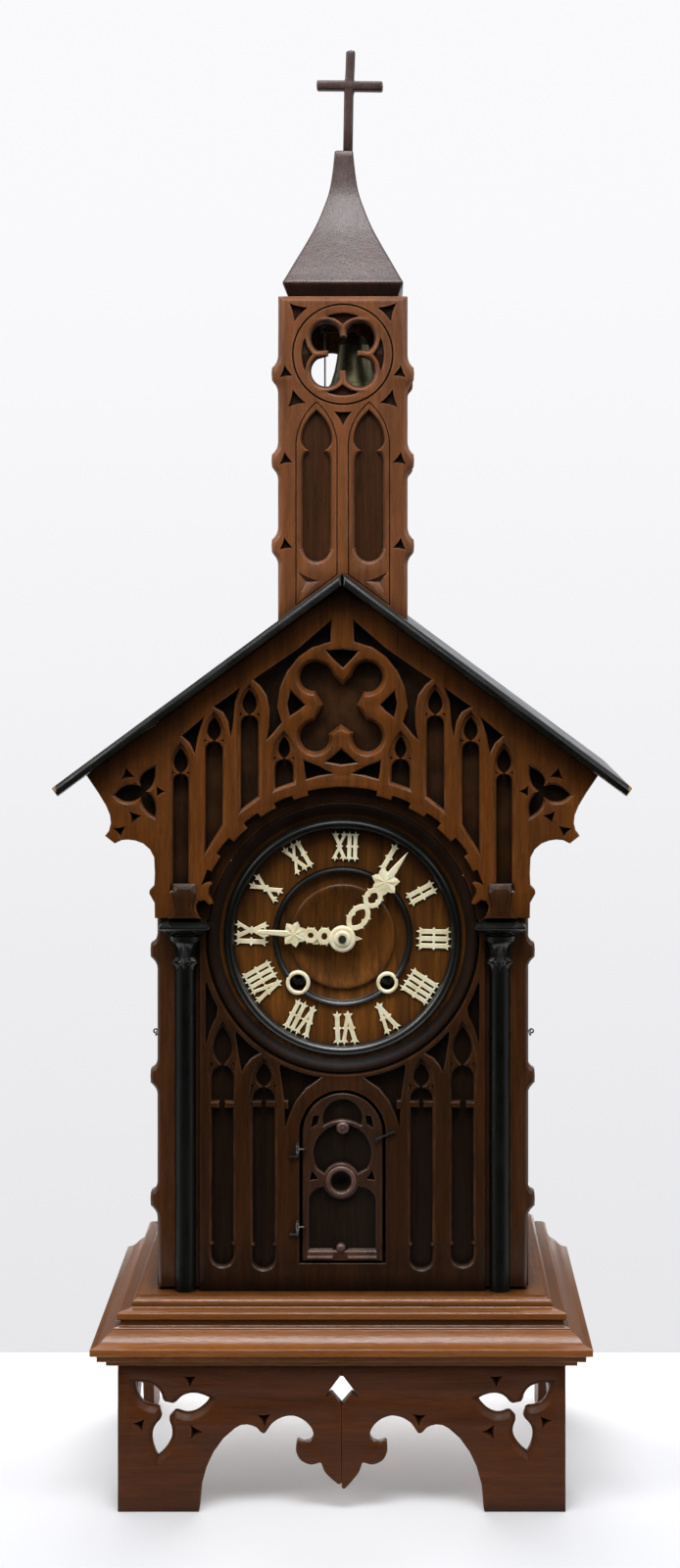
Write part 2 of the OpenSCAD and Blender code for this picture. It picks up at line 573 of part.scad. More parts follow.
// ---- bell ----
bell_p = [7, -17, 800];
module bell_bracket() {
    color(walnut) difference() {
        union() {
            box(bell_p[0] - 6, bell_p[0] + 6, tower_y0 + 6, tower_y1 - 6, 808, 816);
            box(bell_p[0] - 4, bell_p[0] + 4, -43, -40, 795, 808);
            box(bell_p[0] - 4, bell_p[0] + 4, 3.4, 6.4, 795, 808);
        }
        rod_y(bell_p[0], bell_p[2], -60, 20, 1.55);
    }
}
module bell() {
    color([0.5, 0.47, 0.32]) {
        translate([bell_p[0], bell_p[1], 757]) difference() {
            rotate_extrude() polygon([[16.6, 0], [18.5, 0.6], [16.3, 4.4], [13.7, 13], [12.2, 21], [10.8, 31], [7.4, 37], [3, 39.5], [0, 39.6], [0, 37.8],
                [6, 35.4], [9.2, 30], [10.6, 21], [12.1, 13], [14.7, 4]]);
        }
        box(bell_p[0] - 2, bell_p[0] + 2, bell_p[1] - 2, bell_p[1] + 2, 795.5, 800);
        rod_y(bell_p[0], bell_p[2], -43.6, 7, 1.5);
        difference() {
            union() {
                board(0.2, 1.8) { translate([bell_p[0], 800]) circle(3); bar([bell_p[0], 800], [-12, 800], 2); }
                rod_z(-14, 1, 799, 801, 3);
            }
            rod_z(-14, 1, 790, 810, 1.9);
        }
        // staple for the clapper
        difference() {
            for (y = [-20.5, -14.8]) box(bell_p[0] - 2, bell_p[0] + 2, y, y + 1.3, 790.2, 794.5);
            rod_y(bell_p[0], 792, -24, -10, 1.05);
        }
    }
}
module clapper() {
    color(steel) { rod_y(bell_p[0], 792, -20.3, -13.7, 1); rod_z(bell_p[0], bell_p[1], 765, 791.5, 0.8); translate([bell_p[0], bell_p[1], 764]) sphere(3.2); }
}
// wire from the figure's hands up to the arm of the bell
module pull_wire() {
    color(steel) { rod_z(-14, 1, 208, 804, 0.6); rod_z(-14, 1, 802.2, 803.4, 2.6); rod_z(-14, 1, 208, 210, 1.6); }
}

// ---- doors ----
hinge = [-30.6, -72.2];
side_hinge = [129.7, 79.4];
back_hinge = [-89.5, 100.2];
// all the bent wire pins on which the doors turn
module hinge_pins() {
    color(steel) {
        for (z = [183, 236]) {
            rod_z(hinge[0], hinge[1], z - 4.5, z + 4.5, 0.7);
            box(-36, hinge[0] + 0.6, hinge[1] - 0.6, hinge[1] + 0.6, z - 5.7, z - 4.5);
            box(-36, -34.8, hinge[1] - 0.6, facade_y - 3, z - 5.7, z - 4.5);
        }
        for (s = [-1, 1], z = [200, 420]) {
            rod_z(s * side_hinge[0], side_hinge[1], z - 7, z + 6, 0.9);
            box(min(s * case_hw, s * 130.5), max(s * case_hw, s * 130.5), side_hinge[1] - 0.8, side_hinge[1] + 0.8, z - 8.6, z - 7);
        }
        for (z = [210, 425]) {
            rod_z(back_hinge[0], back_hinge[1], z - 8, z + 7, 0.9);
            box(back_hinge[0] - 0.8, back_hinge[0] + 0.8, back_y, back_hinge[1] + 0.8, z - 9.6, z - 8);
        }
    }
}
module door_panel() {
    color(walnut) {
        board(-66.5, -61.5) door_hole(28, 158);
        for (z = [183, 236]) difference() {
            union() {
                rod_z(hinge[0], hinge[1], z - 2.6, z + 2.6, 1.5);
                box(hinge[0], -25.6, hinge[1] - 0.9, hinge[1] + 0.5, z - 1, z + 1);
                box(-27.2, -25.6, hinge[1] - 0.9, -66, z - 1, z + 1);
            }
            rod_z(hinge[0], hinge[1], z - 4, z + 4, 0.75);
        }
    }
}
module door_tracery() {
    color(walnut) difference() {
        board(-69.5, -66.5) difference() {
            door_hole(27.2, 159);
            translate([0, 256.5]) circle(11);
            translate([0, 213]) circle(7.4);
            sym() { translate([-22, 216]) square([10, 20]); translate([-22, 168]) square([19.5, 33]); }
        }
        for (z = [183, 236]) box(hinge[0] - 5, -25, -72, -66.5, z - 1.6, z + 1.6);
        rod_y(23, 242.4, -72, -60, 0.95);
    }
}
module door_latch() {
    color(steel) {
        rod_y(23, 242.4, -72, -66.6, 0.9);
        board(-72, -70.9) { bar([23, 242.4], [35.5, 247.8], 1.3); translate([23, 242.4]) circle(1.4); }
    }
}
module side_door(s) {
    x0 = s < 0 ? -126.5 : 121.5;
    color(walnut) {
        difference() {
            side(x0, x0 + 5) difference() {
                translate([-37.5, 166]) square([115.1, 288]);
                for (y = [-2, 42]) lancet(y, 200, 380, 424, 22, 0.5, 1);
            }
        }
        // knuckles of the wire hinges at the back edge
        for (z = [200, 420]) difference() {
            union() {
                rod_z(s * side_hinge[0], side_hinge[1], z - 5, z + 5, 1.8);
                box(min(s * 128.6, s * 130.8), max(s * 128.6, s * 130.8), 70, side_hinge[1], z - 1.5, z + 1.5);
                box(min(s * 125, s * 129), max(s * 125, s * 129), 70, 75, z - 1.5, z + 1.5);
            }
            rod_z(s * side_hinge[0], side_hinge[1], z - 6, z + 6, 0.95);
        }
    }
}
module side_door_left() { side_door(-1); }
module side_door_right() { side_door(1); }
module side_latch(s) {
    color(steel) {
        rod_x(min(s * 126.6, s * 131), max(s * 126.6, s * 131), -34, 308, 0.9);
        side(min(s * 129, s * 130.2), max(s * 129, s * 130.2)) bar([-34, 308], [-46, 308], 1.4);
        // ring to pull the door by
        board_ring = [s * 131.2, -34, 308];
        translate(board_ring) rotate([90, 0, 0]) rotate_extrude() translate([0.9, -0.5]) square([0.9, 1]);
    }
}
module side_latch_left() { side_latch(-1); }
module side_latch_right() { side_latch(1); }
module back_door() {
    color(walnut) {
        box(-87.4, 87.4, 91, 97, 165.6, 469.4);
        rod_y(76, 318, 96, 99, 3);
        rod_y(76, 318, 99, 104, 6);
        for (z = [210, 425]) difference() {
            union() {
                rod_z(back_hinge[0], back_hinge[1], z - 6, z + 6, 1.8);
                box(-87.4, -80, 96, 100.6, z - 2, z + 2);
                box(back_hinge[0], -84, 98.8, 101, z - 2, z + 2);
            }
            rod_z(back_hinge[0], back_hinge[1], z - 7, z + 7, 0.95);
        }
    }
}

foot_front_left();
foot_front_right();
foot_side_left();
foot_side_right();
plinth_lower();
plinth_upper();
facade_board();
facade_tracery();
gable_tracery();
column_left();
column_right();
case_side_left();
case_side_right();
case_back();
roof_left();
roof_right();
tower_front();
tower_side_left();
tower_side_right();
tower_back();
spire();
cross();
dial_board();
dial_bezel();
numerals();
winding_grommets();
seat_board();
movement_frame();
gong_post();
gong();
niche();
monk_figure();
bell_bracket();
hinge_pins();
door_panel();
door_tracery();
door_latch();
side_door_left();
side_door_right();
side_latch_left();
side_latch_right();
back_door();
minute_hand();
hand_nut();
centre_arbor();
hour_hand();
hour_wheel();
minute_wheel();
going_great_wheel();
strike_great_wheel();
third_wheel();
escape_wheel();
pin_wheel();
fly();
pendulum();
hammer();
monk_arms();
pull_wire();
bell();
clapper();
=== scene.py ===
import math
import random

import bmesh
import bpy
from mathutils import Matrix, Vector
from mathutils.geometry import tessellate_polygon


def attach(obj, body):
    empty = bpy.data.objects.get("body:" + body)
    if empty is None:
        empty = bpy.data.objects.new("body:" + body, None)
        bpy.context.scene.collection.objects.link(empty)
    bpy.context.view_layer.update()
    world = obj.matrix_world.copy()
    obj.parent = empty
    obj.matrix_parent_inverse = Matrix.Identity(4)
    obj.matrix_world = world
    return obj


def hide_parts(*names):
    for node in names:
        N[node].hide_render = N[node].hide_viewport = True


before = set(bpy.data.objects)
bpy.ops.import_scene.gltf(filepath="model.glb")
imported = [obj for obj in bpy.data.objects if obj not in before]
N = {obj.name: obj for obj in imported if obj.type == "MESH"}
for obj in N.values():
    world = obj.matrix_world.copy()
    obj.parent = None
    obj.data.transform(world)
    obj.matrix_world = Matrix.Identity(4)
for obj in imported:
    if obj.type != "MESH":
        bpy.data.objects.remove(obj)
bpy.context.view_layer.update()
MM = 0.001
DZ = 379.2  # dial centre
random.seed(7)

# ------------------------------------------------------------------ camera
cam_data = bpy.data.cameras.new("camera")
cam = bpy.data.objects.new("camera", cam_data)
bpy.context.scene.collection.objects.link(cam)
cam_data.sensor_fit = "AUTO"
cam_data.sensor_width = 36
cam_data.lens = 50.1
cam_data.shift_x = -0.0306
cam_data.shift_y = -0.15
cam_data.clip_start, cam_data.clip_end = 0.05, 40
cam.location = (0.031, -1.5575, 0.6445)
cam.rotation_euler = (math.radians(90), 0, 0)
bpy.context.scene.camera = cam


# ------------------------------------------------------------------ materials
class Tree:
    def __init__(self, mat):
        mat.use_nodes = True
        self.t = mat.node_tree
        self.t.nodes.clear()
        self.out = self.t.nodes.new("ShaderNodeOutputMaterial")

    def add(self, kind, **kw):
        n = self.t.nodes.new(kind)
        for k, v in kw.items():
            if k.startswith("i_"):
                n.inputs[k[2:].replace("_", " ")].default_value = v
            else:
                setattr(n, k, v)
        return n

    def link(self, a, b):
        self.t.links.new(a, b)

    def coords(self, scale):
        tc = self.add("ShaderNodeTexCoord")
        mp = self.add("ShaderNodeMapping")
        mp.inputs["Scale"].default_value = scale
        self.link(tc.outputs["Object"], mp.inputs["Vector"])
        return mp.outputs["Vector"]

    def noise(self, vec, scale, detail=4.0, rough=0.55, dist=0.0):
        n = self.add("ShaderNodeTexNoise")
        n.inputs["Scale"].default_value = scale
        n.inputs["Detail"].default_value = detail
        n.inputs["Roughness"].default_value = rough
        n.inputs["Distortion"].default_value = dist
        self.link(vec, n.inputs["Vector"])
        return n.outputs["Fac"]

    def ramp(self, fac, stops):
        r = self.add("ShaderNodeValToRGB")
        cr = r.color_ramp
        while len(cr.elements) < len(stops):
            cr.elements.new(0.5)
        for e, (p, c) in zip(cr.elements, stops):
            e.position = p
            e.color = (*c, 1) if len(c) == 3 else c
        self.link(fac, r.inputs["Fac"])
        return r.outputs["Color"]

    def span(self, fac, a, b, lo=0.0, hi=1.0):
        m = self.add("ShaderNodeMapRange")
        m.inputs["From Min"].default_value = a
        m.inputs["From Max"].default_value = b
        m.inputs["To Min"].default_value = lo
        m.inputs["To Max"].default_value = hi
        self.link(fac, m.inputs["Value"])
        return m.outputs["Result"]

    def mix(self, fac, a, b, blend="MIX"):
        m = self.add("ShaderNodeMix", data_type="RGBA", blend_type=blend)
        for sock, val in ((m.inputs[0], fac), (m.inputs[6], a), (m.inputs[7], b)):
            if isinstance(val, (int, float)):
                sock.default_value = val
            elif isinstance(val, tuple):
                sock.default_value = (*val, 1)
            else:
                self.link(val, sock)
        return m.outputs[2]

    def math(self, op, a, b=None):
        m = self.add("ShaderNodeMath", operation=op)
        for sock, val in zip(m.inputs, (a, b)):
            if val is None:
                continue
            if isinstance(val, (int, float)):
                sock.default_value = val
            else:
                self.link(val, sock)
        return m.outputs[0]

    def occlusion(self, dist, inside=False, samples=6):
        a = self.add("ShaderNodeAmbientOcclusion")
        a.samples = samples
        a.inside = inside
        a.inputs["Distance"].default_value = dist
        return a.outputs["AO"]

    def bump(self, height, strength, distance):
        b = self.add("ShaderNodeBump")
        b.inputs["Strength"].default_value = strength
        b.inputs["Distance"].default_value = distance
        self.link(height, b.inputs["Height"])
        return b.outputs["Normal"]


def plain_xyz(t):
    return t.add("ShaderNodeTexCoord").outputs["Object"]


GRAIN = {"Z": (1, 1, 0.07), "X": (0.07, 1, 1), "Y": (1, 0.07, 1)}


def wood(name, dark, mid, light, worn, grain="Z", rough=(0.26, 0.42), coat=0.0, recess_darkening=0.85, wear=0.55, blotch=0.5, fine=1.0, ao=0.012, spec=0.32, rim=0.0016, shade=None, gloss_z=None):
    m = bpy.data.materials.new(name)
    t = Tree(m)
    g = GRAIN[grain]
    dark, mid, light = [tuple(a + (b - a) * 0.27 * wear for a, b in zip(c, worn)) for c in (dark, mid, light)]
    v = t.coords(g)
    plain = t.coords((1, 1, 1))
    broad = t.noise(v, 55, 5, 0.6, 1.2)
    streak = t.noise(v, 420, 4, 0.6, 0.3)
    pore = t.noise(v, 1500, 2, 0.5)
    cloud = t.noise(t.coords(tuple(0.35 if c < 1 else 1 for c in g)), 12, 3, 0.5, 0.6)
    base = t.ramp(t.math("ADD", t.math("MULTIPLY", broad, 0.62), t.math("MULTIPLY", streak, 0.38)), [(0.36, dark), (0.5, mid), (0.66, light)])
    # stain that took unevenly
    cl = t.span(cloud, 0.38, 0.72)
    base = t.mix(t.math("MULTIPLY", cl, blotch), base, tuple(c * 0.5 for c in mid))
    base = t.mix(t.span(pore, 0.56, 0.72, 0, 0.5 * fine), base, tuple(c * 0.4 for c in dark))
    # rubbed arrises
    edge = t.span(t.occlusion(rim, True, 4), 0.9, 0.5)
    rub = t.math("MULTIPLY", edge, t.span(t.noise(plain, 70, 3), 0.38, 0.62))
    base = t.mix(t.math("MULTIPLY", rub, wear), base, worn)
    # painted shade in the recesses: the colour darkened towards near-black by occlusion
    occlusion_darkening = t.span(t.occlusion(ao), 0.25, 0.95)
    base = t.mix(t.math("MULTIPLY", t.math("SUBTRACT", 1.0, occlusion_darkening), recess_darkening), base, (0.006, 0.0045, 0.0035))
    up = t.add("ShaderNodeSeparateXYZ")
    t.link(plain_xyz(t), up.inputs[0])
    # base colour scaled by height (Z)
    if shade:
        base = t.mix(1.0, base, t.span(up.outputs["Z"], *shade), "MULTIPLY")
    p = t.add("ShaderNodeBsdfPrincipled")
    t.link(base, p.inputs["Base Color"])
    r = t.span(t.math("ADD", t.math("MULTIPLY", cloud, 0.6), t.math("MULTIPLY", streak, 0.4)), 0.35, 0.65, rough[0], rough[1])
    t.link(r, p.inputs["Roughness"])
    p.inputs["Coat Weight"].default_value = coat
    p.inputs["Coat Roughness"].default_value = 0.22
    if gloss_z:
        t.link(t.span(up.outputs["Z"], gloss_z[0], gloss_z[1], coat, 0.0), p.inputs["Coat Weight"])
    p.inputs["Specular IOR Level"].default_value = spec
    h = t.math("ADD", t.math("MULTIPLY", streak, 0.6), t.math("ADD", t.math("MULTIPLY", pore, 0.5), t.math("MULTIPLY", t.noise(plain, 160, 3), 0.9)))
    t.link(t.bump(h, 0.35, 0.0006), p.inputs["Normal"])
    t.link(p.outputs[0], t.out.inputs["Surface"])
    return m


def black_wood(name, grain="Z", worn=(0.060, 0.036, 0.020), rough=(0.26, 0.4), dashes=(), spec=0.4, relief=0.3, rubs=0.7, coat=0.0, gloss_z=None):
    m = bpy.data.materials.new(name)
    t = Tree(m)
    v = t.coords(GRAIN[grain])
    plain = t.coords((1, 1, 1))
    broad = t.noise(v, 120, 4, 0.6, 0.6)
    streak = t.noise(v, 700, 3, 0.6)
    base = t.ramp(broad, [(0.35, (0.0020, 0.0022, 0.0017)), (0.65, (0.0052, 0.0052, 0.0038))])
    edge = t.span(t.occlusion(0.0012, True, 4), 0.85, 0.5)
    rub = t.math("MULTIPLY", edge, t.span(t.noise(plain, 95, 3), 0.47, 0.66))
    base = t.mix(t.math("MULTIPLY", rub, rubs), base, worn)
    if dashes:
        # short scratches down to the bare wood along the lower front edge
        sp = t.add("ShaderNodeSeparateXYZ")
        tc = t.add("ShaderNodeTexCoord")
        t.link(tc.outputs["Object"], sp.inputs[0])
        front = t.math("LESS_THAN", sp.outputs["Y"], -0.0868)
        gaps = t.math("GREATER_THAN", t.noise(t.coords((1, 0.01, 0.01)), 330, 1), 0.47)
        for x0, z0, x1, z1 in dashes:
            run = t.math("MULTIPLY", t.math("GREATER_THAN", sp.outputs["X"], x0), t.math("LESS_THAN", sp.outputs["X"], x1))
            line = t.math("ADD", t.math("MULTIPLY", t.math("SUBTRACT", sp.outputs["X"], x0), (z1 - z0) / (x1 - x0)), z0)
            near = t.math("LESS_THAN", t.math("ABSOLUTE", t.math("SUBTRACT", sp.outputs["Z"], line)), 0.00042)
            base = t.mix(t.math("MULTIPLY", t.math("MULTIPLY", run, near), t.math("MULTIPLY", front, gaps)), base, (0.62, 0.60, 0.55))
        # black rubbed off at both ends
        far = t.math("ADD", t.math("ABSOLUTE", sp.outputs["X"]), t.math("MULTIPLY", t.noise(plain, 260, 3), 0.006))
        base = t.mix(t.span(far, 0.1958, 0.1966), base, (0.26, 0.135, 0.05))
    p = t.add("ShaderNodeBsdfPrincipled")
    t.link(base, p.inputs["Base Color"])
    t.link(t.span(t.noise(plain, 60, 4), 0.35, 0.65, rough[0], rough[1]), p.inputs["Roughness"])
    p.inputs["Specular IOR Level"].default_value = spec
    p.inputs["Coat Weight"].default_value = coat
    p.inputs["Coat Roughness"].default_value = 0.36
    p.inputs["Coat IOR"].default_value = 1.75
    if gloss_z:
        up = t.add("ShaderNodeSeparateXYZ")
        t.link(plain_xyz(t), up.inputs[0])
        t.link(t.span(up.outputs["Z"], gloss_z[0], gloss_z[1], coat, 0.0), p.inputs["Coat Weight"])
    h = t.math("ADD", t.math("MULTIPLY", streak, 0.7), t.math("MULTIPLY", t.noise(plain, 220, 3), 0.6))
    t.link(t.bump(h, relief, 0.0005), p.inputs["Normal"])
    t.link(p.outputs[0], t.out.inputs["Surface"])
    return m


def bone_mat(name):
    m = bpy.data.materials.new(name)
    t = Tree(m)
    v = t.coords((1, 1, 1))
    a = t.noise(v, 90, 4, 0.6)
    b = t.noise(t.coords((1, 1, 0.15)), 900, 2)
    base = t.ramp(a, [(0.3, (0.76, 0.64, 0.38)), (0.5, (0.90, 0.81, 0.54)), (0.7, (0.95, 0.89, 0.66))])
    base = t.mix(t.span(b, 0.58, 0.75, 0, 0.35), base, (0.5, 0.38, 0.2))
    occlusion_darkening = t.span(t.occlusion(0.0014), 0.3, 0.85)
    base = t.mix(t.math("MULTIPLY", t.math("SUBTRACT", 1.0, occlusion_darkening), 0.6), base, (0.30, 0.20, 0.09))
    p = t.add("ShaderNodeBsdfPrincipled")
    t.link(base, p.inputs["Base Color"])
    t.link(t.span(a, 0.3, 0.7, 0.32, 0.5), p.inputs["Roughness"])
    p.inputs["Subsurface Weight"].default_value = 0.12
    p.inputs["Subsurface Scale"].default_value = 0.002
    t.link(t.bump(t.math("ADD", t.math("MULTIPLY", b, 0.5), a), 0.25, 0.0003), p.inputs["Normal"])
    t.link(p.outputs[0], t.out.inputs["Surface"])
    return m


def metal(name, a, b, rough=(0.25, 0.45), tarnish=(0.05, 0.035, 0.02), amount=0.5, brush=(1, 1, 1)):
    m = bpy.data.materials.new(name)
    t = Tree(m)
    v = t.coords((1, 1, 1))
    n1 = t.noise(v, 45, 4, 0.6, 0.3)
    n2 = t.noise(t.coords(brush), 1600, 3)
    base = t.ramp(n1, [(0.35, a), (0.65, b)])
    spots = t.span(t.noise(v, 130, 5, 0.65), 0.5, 0.7)
    base = t.mix(t.math("MULTIPLY", spots, amount), base, tarnish)
    occlusion_darkening = t.span(t.occlusion(0.004), 0.2, 0.9)
    base = t.mix(t.math("MULTIPLY", t.math("SUBTRACT", 1.0, occlusion_darkening), 0.6), base, tuple(c * 0.5 for c in tarnish))
    p = t.add("ShaderNodeBsdfPrincipled")
    t.link(base, p.inputs["Base Color"])
    p.inputs["Metallic"].default_value = 1.0
    t.link(t.span(t.math("ADD", t.math("MULTIPLY", spots, 0.6), t.math("MULTIPLY", n2, 0.4)), 0.1, 0.8, rough[0], rough[1]), p.inputs["Roughness"])
    t.link(t.bump(n2, 0.15, 0.0003), p.inputs["Normal"])
    t.link(p.outputs[0], t.out.inputs["Surface"])
    return m


def paint(name, a, b, rough=(0.5, 0.7)):
    m = bpy.data.materials.new(name)
    t = Tree(m)
    v = t.coords((1, 1, 1))
    n1 = t.noise(v, 180, 4, 0.6, 0.4)
    n2 = t.noise(t.coords((1, 1, 0.2)), 900, 3)
    base = t.ramp(n1, [(0.35, a), (0.65, b)])
    occlusion_darkening = t.span(t.occlusion(0.004), 0.2, 0.9)
    base = t.mix(t.math("MULTIPLY", t.math("SUBTRACT", 1.0, occlusion_darkening), 0.7), base, tuple(c * 0.25 for c in a))
    p = t.add("ShaderNodeBsdfPrincipled")
    t.link(base, p.inputs["Base Color"])
    t.link(t.span(n2, 0.3, 0.7, rough[0], rough[1]), p.inputs["Roughness"])
    t.link(t.bump(t.math("ADD", n1, t.math("MULTIPLY", n2, 0.5)), 0.35, 0.0005), p.inputs["Normal"])
    t.link(p.outputs[0], t.out.inputs["Surface"])
    return m


D, M_, L, WN = (0.006, 0.0021, 0.0007), (0.0175, 0.0054, 0.0013), (0.037, 0.0108, 0.0022), (0.115, 0.046, 0.016)
# darker towards the bottom of the facade
W_FACADE = wood("wood_facade", *[tuple(v * 1.15 for v in c) for c in (D, M_, L, WN)], "Z", blotch=0.35, spec=0.26, shade=(0.138, 0.178, 0.4, 1.0))
W_BOARD = wood("wood_board", (0.016, 0.0056, 0.0016), (0.044, 0.0138, 0.0032), (0.080, 0.0250, 0.0056), (0.15, 0.056, 0.017), "Z", blotch=0.4)
# painted shade: the board wood made darker for the recessed ground behind the facade tracery
W_GROUND_SHADED = wood("wood_ground_painted_shade", (0.006, 0.0030, 0.0014), (0.0120, 0.0054, 0.0023), (0.021, 0.0090, 0.0034), (0.045, 0.018, 0.007), "Z", blotch=0.3)
W_GABLE = wood("wood_gable", (0.037, 0.0112, 0.0018), (0.103, 0.0282, 0.0035), (0.172, 0.0490, 0.0058), (0.27, 0.102, 0.024), "Z", blotch=0.4)
# painted shade: the gable wood made darker for the recessed ground seen through the gable openings
W_GABLE_GROUND_SHADED = wood("wood_gable_ground_painted_shade", (0.014, 0.0062, 0.0018), (0.029, 0.0118, 0.0031), (0.050, 0.0195, 0.0046), (0.09, 0.036, 0.012), "Z", blotch=0.35)
FOOT_C = ((0.027, 0.0066, 0.0009), (0.058, 0.0140, 0.0015), (0.100, 0.0245, 0.0026), (0.16, 0.050, 0.010))
W_FOOT = wood("wood_foot", *FOOT_C, "X", blotch=0.15, rough=(0.34, 0.48), spec=0.18)
W_FOOT_Y = wood("wood_foot_side", *FOOT_C, "Y", blotch=0.15, rough=(0.34, 0.48), spec=0.18)
# painted shade: the tower wood made darker for the back layer seen through the tower openings
W_TOWER_GROUND_SHADED = wood("wood_tower_ground_painted_shade", (0.022, 0.0080, 0.0032), (0.044, 0.0155, 0.0048), (0.074, 0.0260, 0.0075), (0.12, 0.05, 0.022), "Z", blotch=0.45)
W_CROSS = wood("wood_cross", (0.020, 0.0085, 0.0070), (0.038, 0.0155, 0.0125), (0.060, 0.0260, 0.0200), (0.12, 0.065, 0.052), "Z", rough=(0.3, 0.46), blotch=0.4, spec=0.5)
# painted shade: near-black door panel seen through the door tracery and its ring hole
W_DOOR_GROUND_SHADED = wood("wood_door_ground_painted_shade", (0.0045, 0.0027, 0.0013), (0.0080, 0.0046, 0.0022), (0.014, 0.0080, 0.0038), (0.035, 0.018, 0.009), "Z")
W_DRING = wood("wood_door_rings", (0.030, 0.0130, 0.0090), (0.060, 0.0270, 0.0195), (0.095, 0.0440, 0.0320), (0.18, 0.09, 0.068), "Z", blotch=0.3, spec=0.6)
PLINTH_C = ((0.112, 0.0300, 0.0036), (0.168, 0.0470, 0.0056), (0.238, 0.0700, 0.0086), (0.42, 0.165, 0.040))
W_PLINTH = wood("wood_plinth", *PLINTH_C, "X", rough=(0.24, 0.32), blotch=0.1, wear=0.7, spec=0.5, rim=0.0007)
W_PLINTH_Y = wood("wood_plinth_side", *[tuple(v * 0.6 for v in c) for c in PLINTH_C], "Y", rough=(0.5, 0.6), blotch=0.1, wear=0.5, spec=0.1, rim=0.0007)
W_SIDE = wood("wood_side", (0.022, 0.0078, 0.0022), (0.058, 0.0188, 0.0044), (0.100, 0.0335, 0.0075), (0.17, 0.066, 0.020), "Z", rough=(0.46, 0.6), blotch=0.2, spec=0.14)
W_TOWER = wood("wood_tower", (0.069, 0.0225, 0.0072), (0.146, 0.0450, 0.0108), (0.223, 0.0700, 0.0170), (0.33, 0.150, 0.078), "Z", blotch=0.25, recess_darkening=0.8, spec=0.42)
W_SPIRE = wood("wood_spire", (0.018, 0.0070, 0.0050), (0.034, 0.0130, 0.0085), (0.056, 0.0220, 0.0150), (0.13, 0.06, 0.045), "Z", rough=(0.3, 0.44), blotch=0.3, spec=0.48)
# painted shade: the dial wood darker towards the top, under the gable, and lighter towards the bottom
W_DIAL = wood("wood_dial", (0.028, 0.0104, 0.0026), (0.098, 0.0340, 0.0056), (0.225, 0.0760, 0.0105), (0.21, 0.080, 0.018), "Z", rough=(0.24, 0.36), blotch=0.6, spec=0.36, fine=0.5, shade=(0.330, 0.445, 1.3, 0.62))
# the cove round the bezel: brown dial board wood darkened to near-black as painted shade under the gable
W_RIM_SHADED = wood("wood_rim_painted_shade", (0.004, 0.0020, 0.0011), (0.0085, 0.0036, 0.0018), (0.017, 0.0070, 0.0034), (0.09, 0.040, 0.022), "Z", rough=(0.3, 0.4), blotch=0.35, spec=0.25, coat=1.0, gloss_z=(0.305, 0.385), fine=0.3)
W_DOOR = wood("wood_door", (0.010, 0.0040, 0.0017), (0.025, 0.0092, 0.0034), (0.048, 0.0180, 0.0068), (0.14, 0.062, 0.034), "Z", blotch=0.3, spec=0.34)
W_INNER = wood("wood_inner", (0.09, 0.046, 0.021), (0.13, 0.072, 0.034), (0.17, 0.098, 0.049), (0.22, 0.14, 0.075), "Z", rough=(0.5, 0.7), blotch=0.15)
W_INNER_X = wood("wood_inner_x", (0.09, 0.046, 0.021), (0.13, 0.072, 0.034), (0.17, 0.098, 0.049), (0.22, 0.14, 0.075), "X", rough=(0.5, 0.7), blotch=0.15)


def two_metals(name):
    m = metal(name, (0.46, 0.31, 0.12), (0.60, 0.42, 0.17))
    t = m.node_tree
    p = next(n for n in t.nodes if n.type == "BSDF_PRINCIPLED")
    src = p.inputs["Base Color"].links[0].from_socket
    tc = t.nodes.new("ShaderNodeTexCoord")
    sp = t.nodes.new("ShaderNodeSeparateXYZ")
    t.links.new(tc.outputs["Object"], sp.inputs[0])
    mr = t.nodes.new("ShaderNodeMapRange")
    mr.inputs["From Min"].default_value = -0.0492
    mr.inputs["From Max"].default_value = -0.0488
    t.links.new(sp.outputs["Y"], mr.inputs["Value"])
    mx = t.nodes.new("ShaderNodeMix")
    mx.data_type = "RGBA"
    t.links.new(mr.outputs["Result"], mx.inputs[0])
    mx.inputs[6].default_value = (0.22, 0.20, 0.185, 1)
    t.links.new(src, mx.inputs[7])
    t.links.new(mx.outputs[2], p.inputs["Base Color"])
    return m


BRASS_STEEL = two_metals("brass_and_steel")
B_ROOF = black_wood("black_roof", "Y", (0.060, 0.044, 0.028), rubs=0.5, spec=0.28, dashes=((-0.1495, 0.5076, -0.1300, 0.5218), (0.1165, 0.5316, 0.1235, 0.5265)))
B_COL = black_wood("black_column", "Z", (0.030, 0.020, 0.013), spec=0.22, relief=0.18, rubs=0.5)
B_CAP = black_wood("black_capital", "Z", (0.030, 0.020, 0.013), rough=(0.24, 0.3), spec=0.6, relief=0.08, rubs=0.5)
B_RING = black_wood("black_ring", "Z", (0.02, 0.016, 0.012), rough=(0.3, 0.36), spec=0.22, relief=0.04, coat=1.0, gloss_z=(0.318, 0.392))
OCHRE = wood("wood_end_grain", (0.10, 0.05, 0.02), (0.2, 0.11, 0.045), (0.3, 0.18, 0.08), (0.4, 0.26, 0.13), "Y", rough=(0.5, 0.7), coat=0.0)
BONE = bone_mat("bone")
BRASS = metal("brass", (0.46, 0.31, 0.12), (0.60, 0.42, 0.17))
STEEL = metal("steel", (0.20, 0.185, 0.17), (0.34, 0.32, 0.30), (0.3, 0.5), (0.06, 0.035, 0.02), 0.55)
BELL = metal("bell_metal", (0.075, 0.066, 0.036), (0.13, 0.115, 0.066), (0.35, 0.55), (0.020, 0.022, 0.012), 0.7)
ROBE = paint("robe_paint", (0.055, 0.034, 0.022), (0.095, 0.060, 0.038))
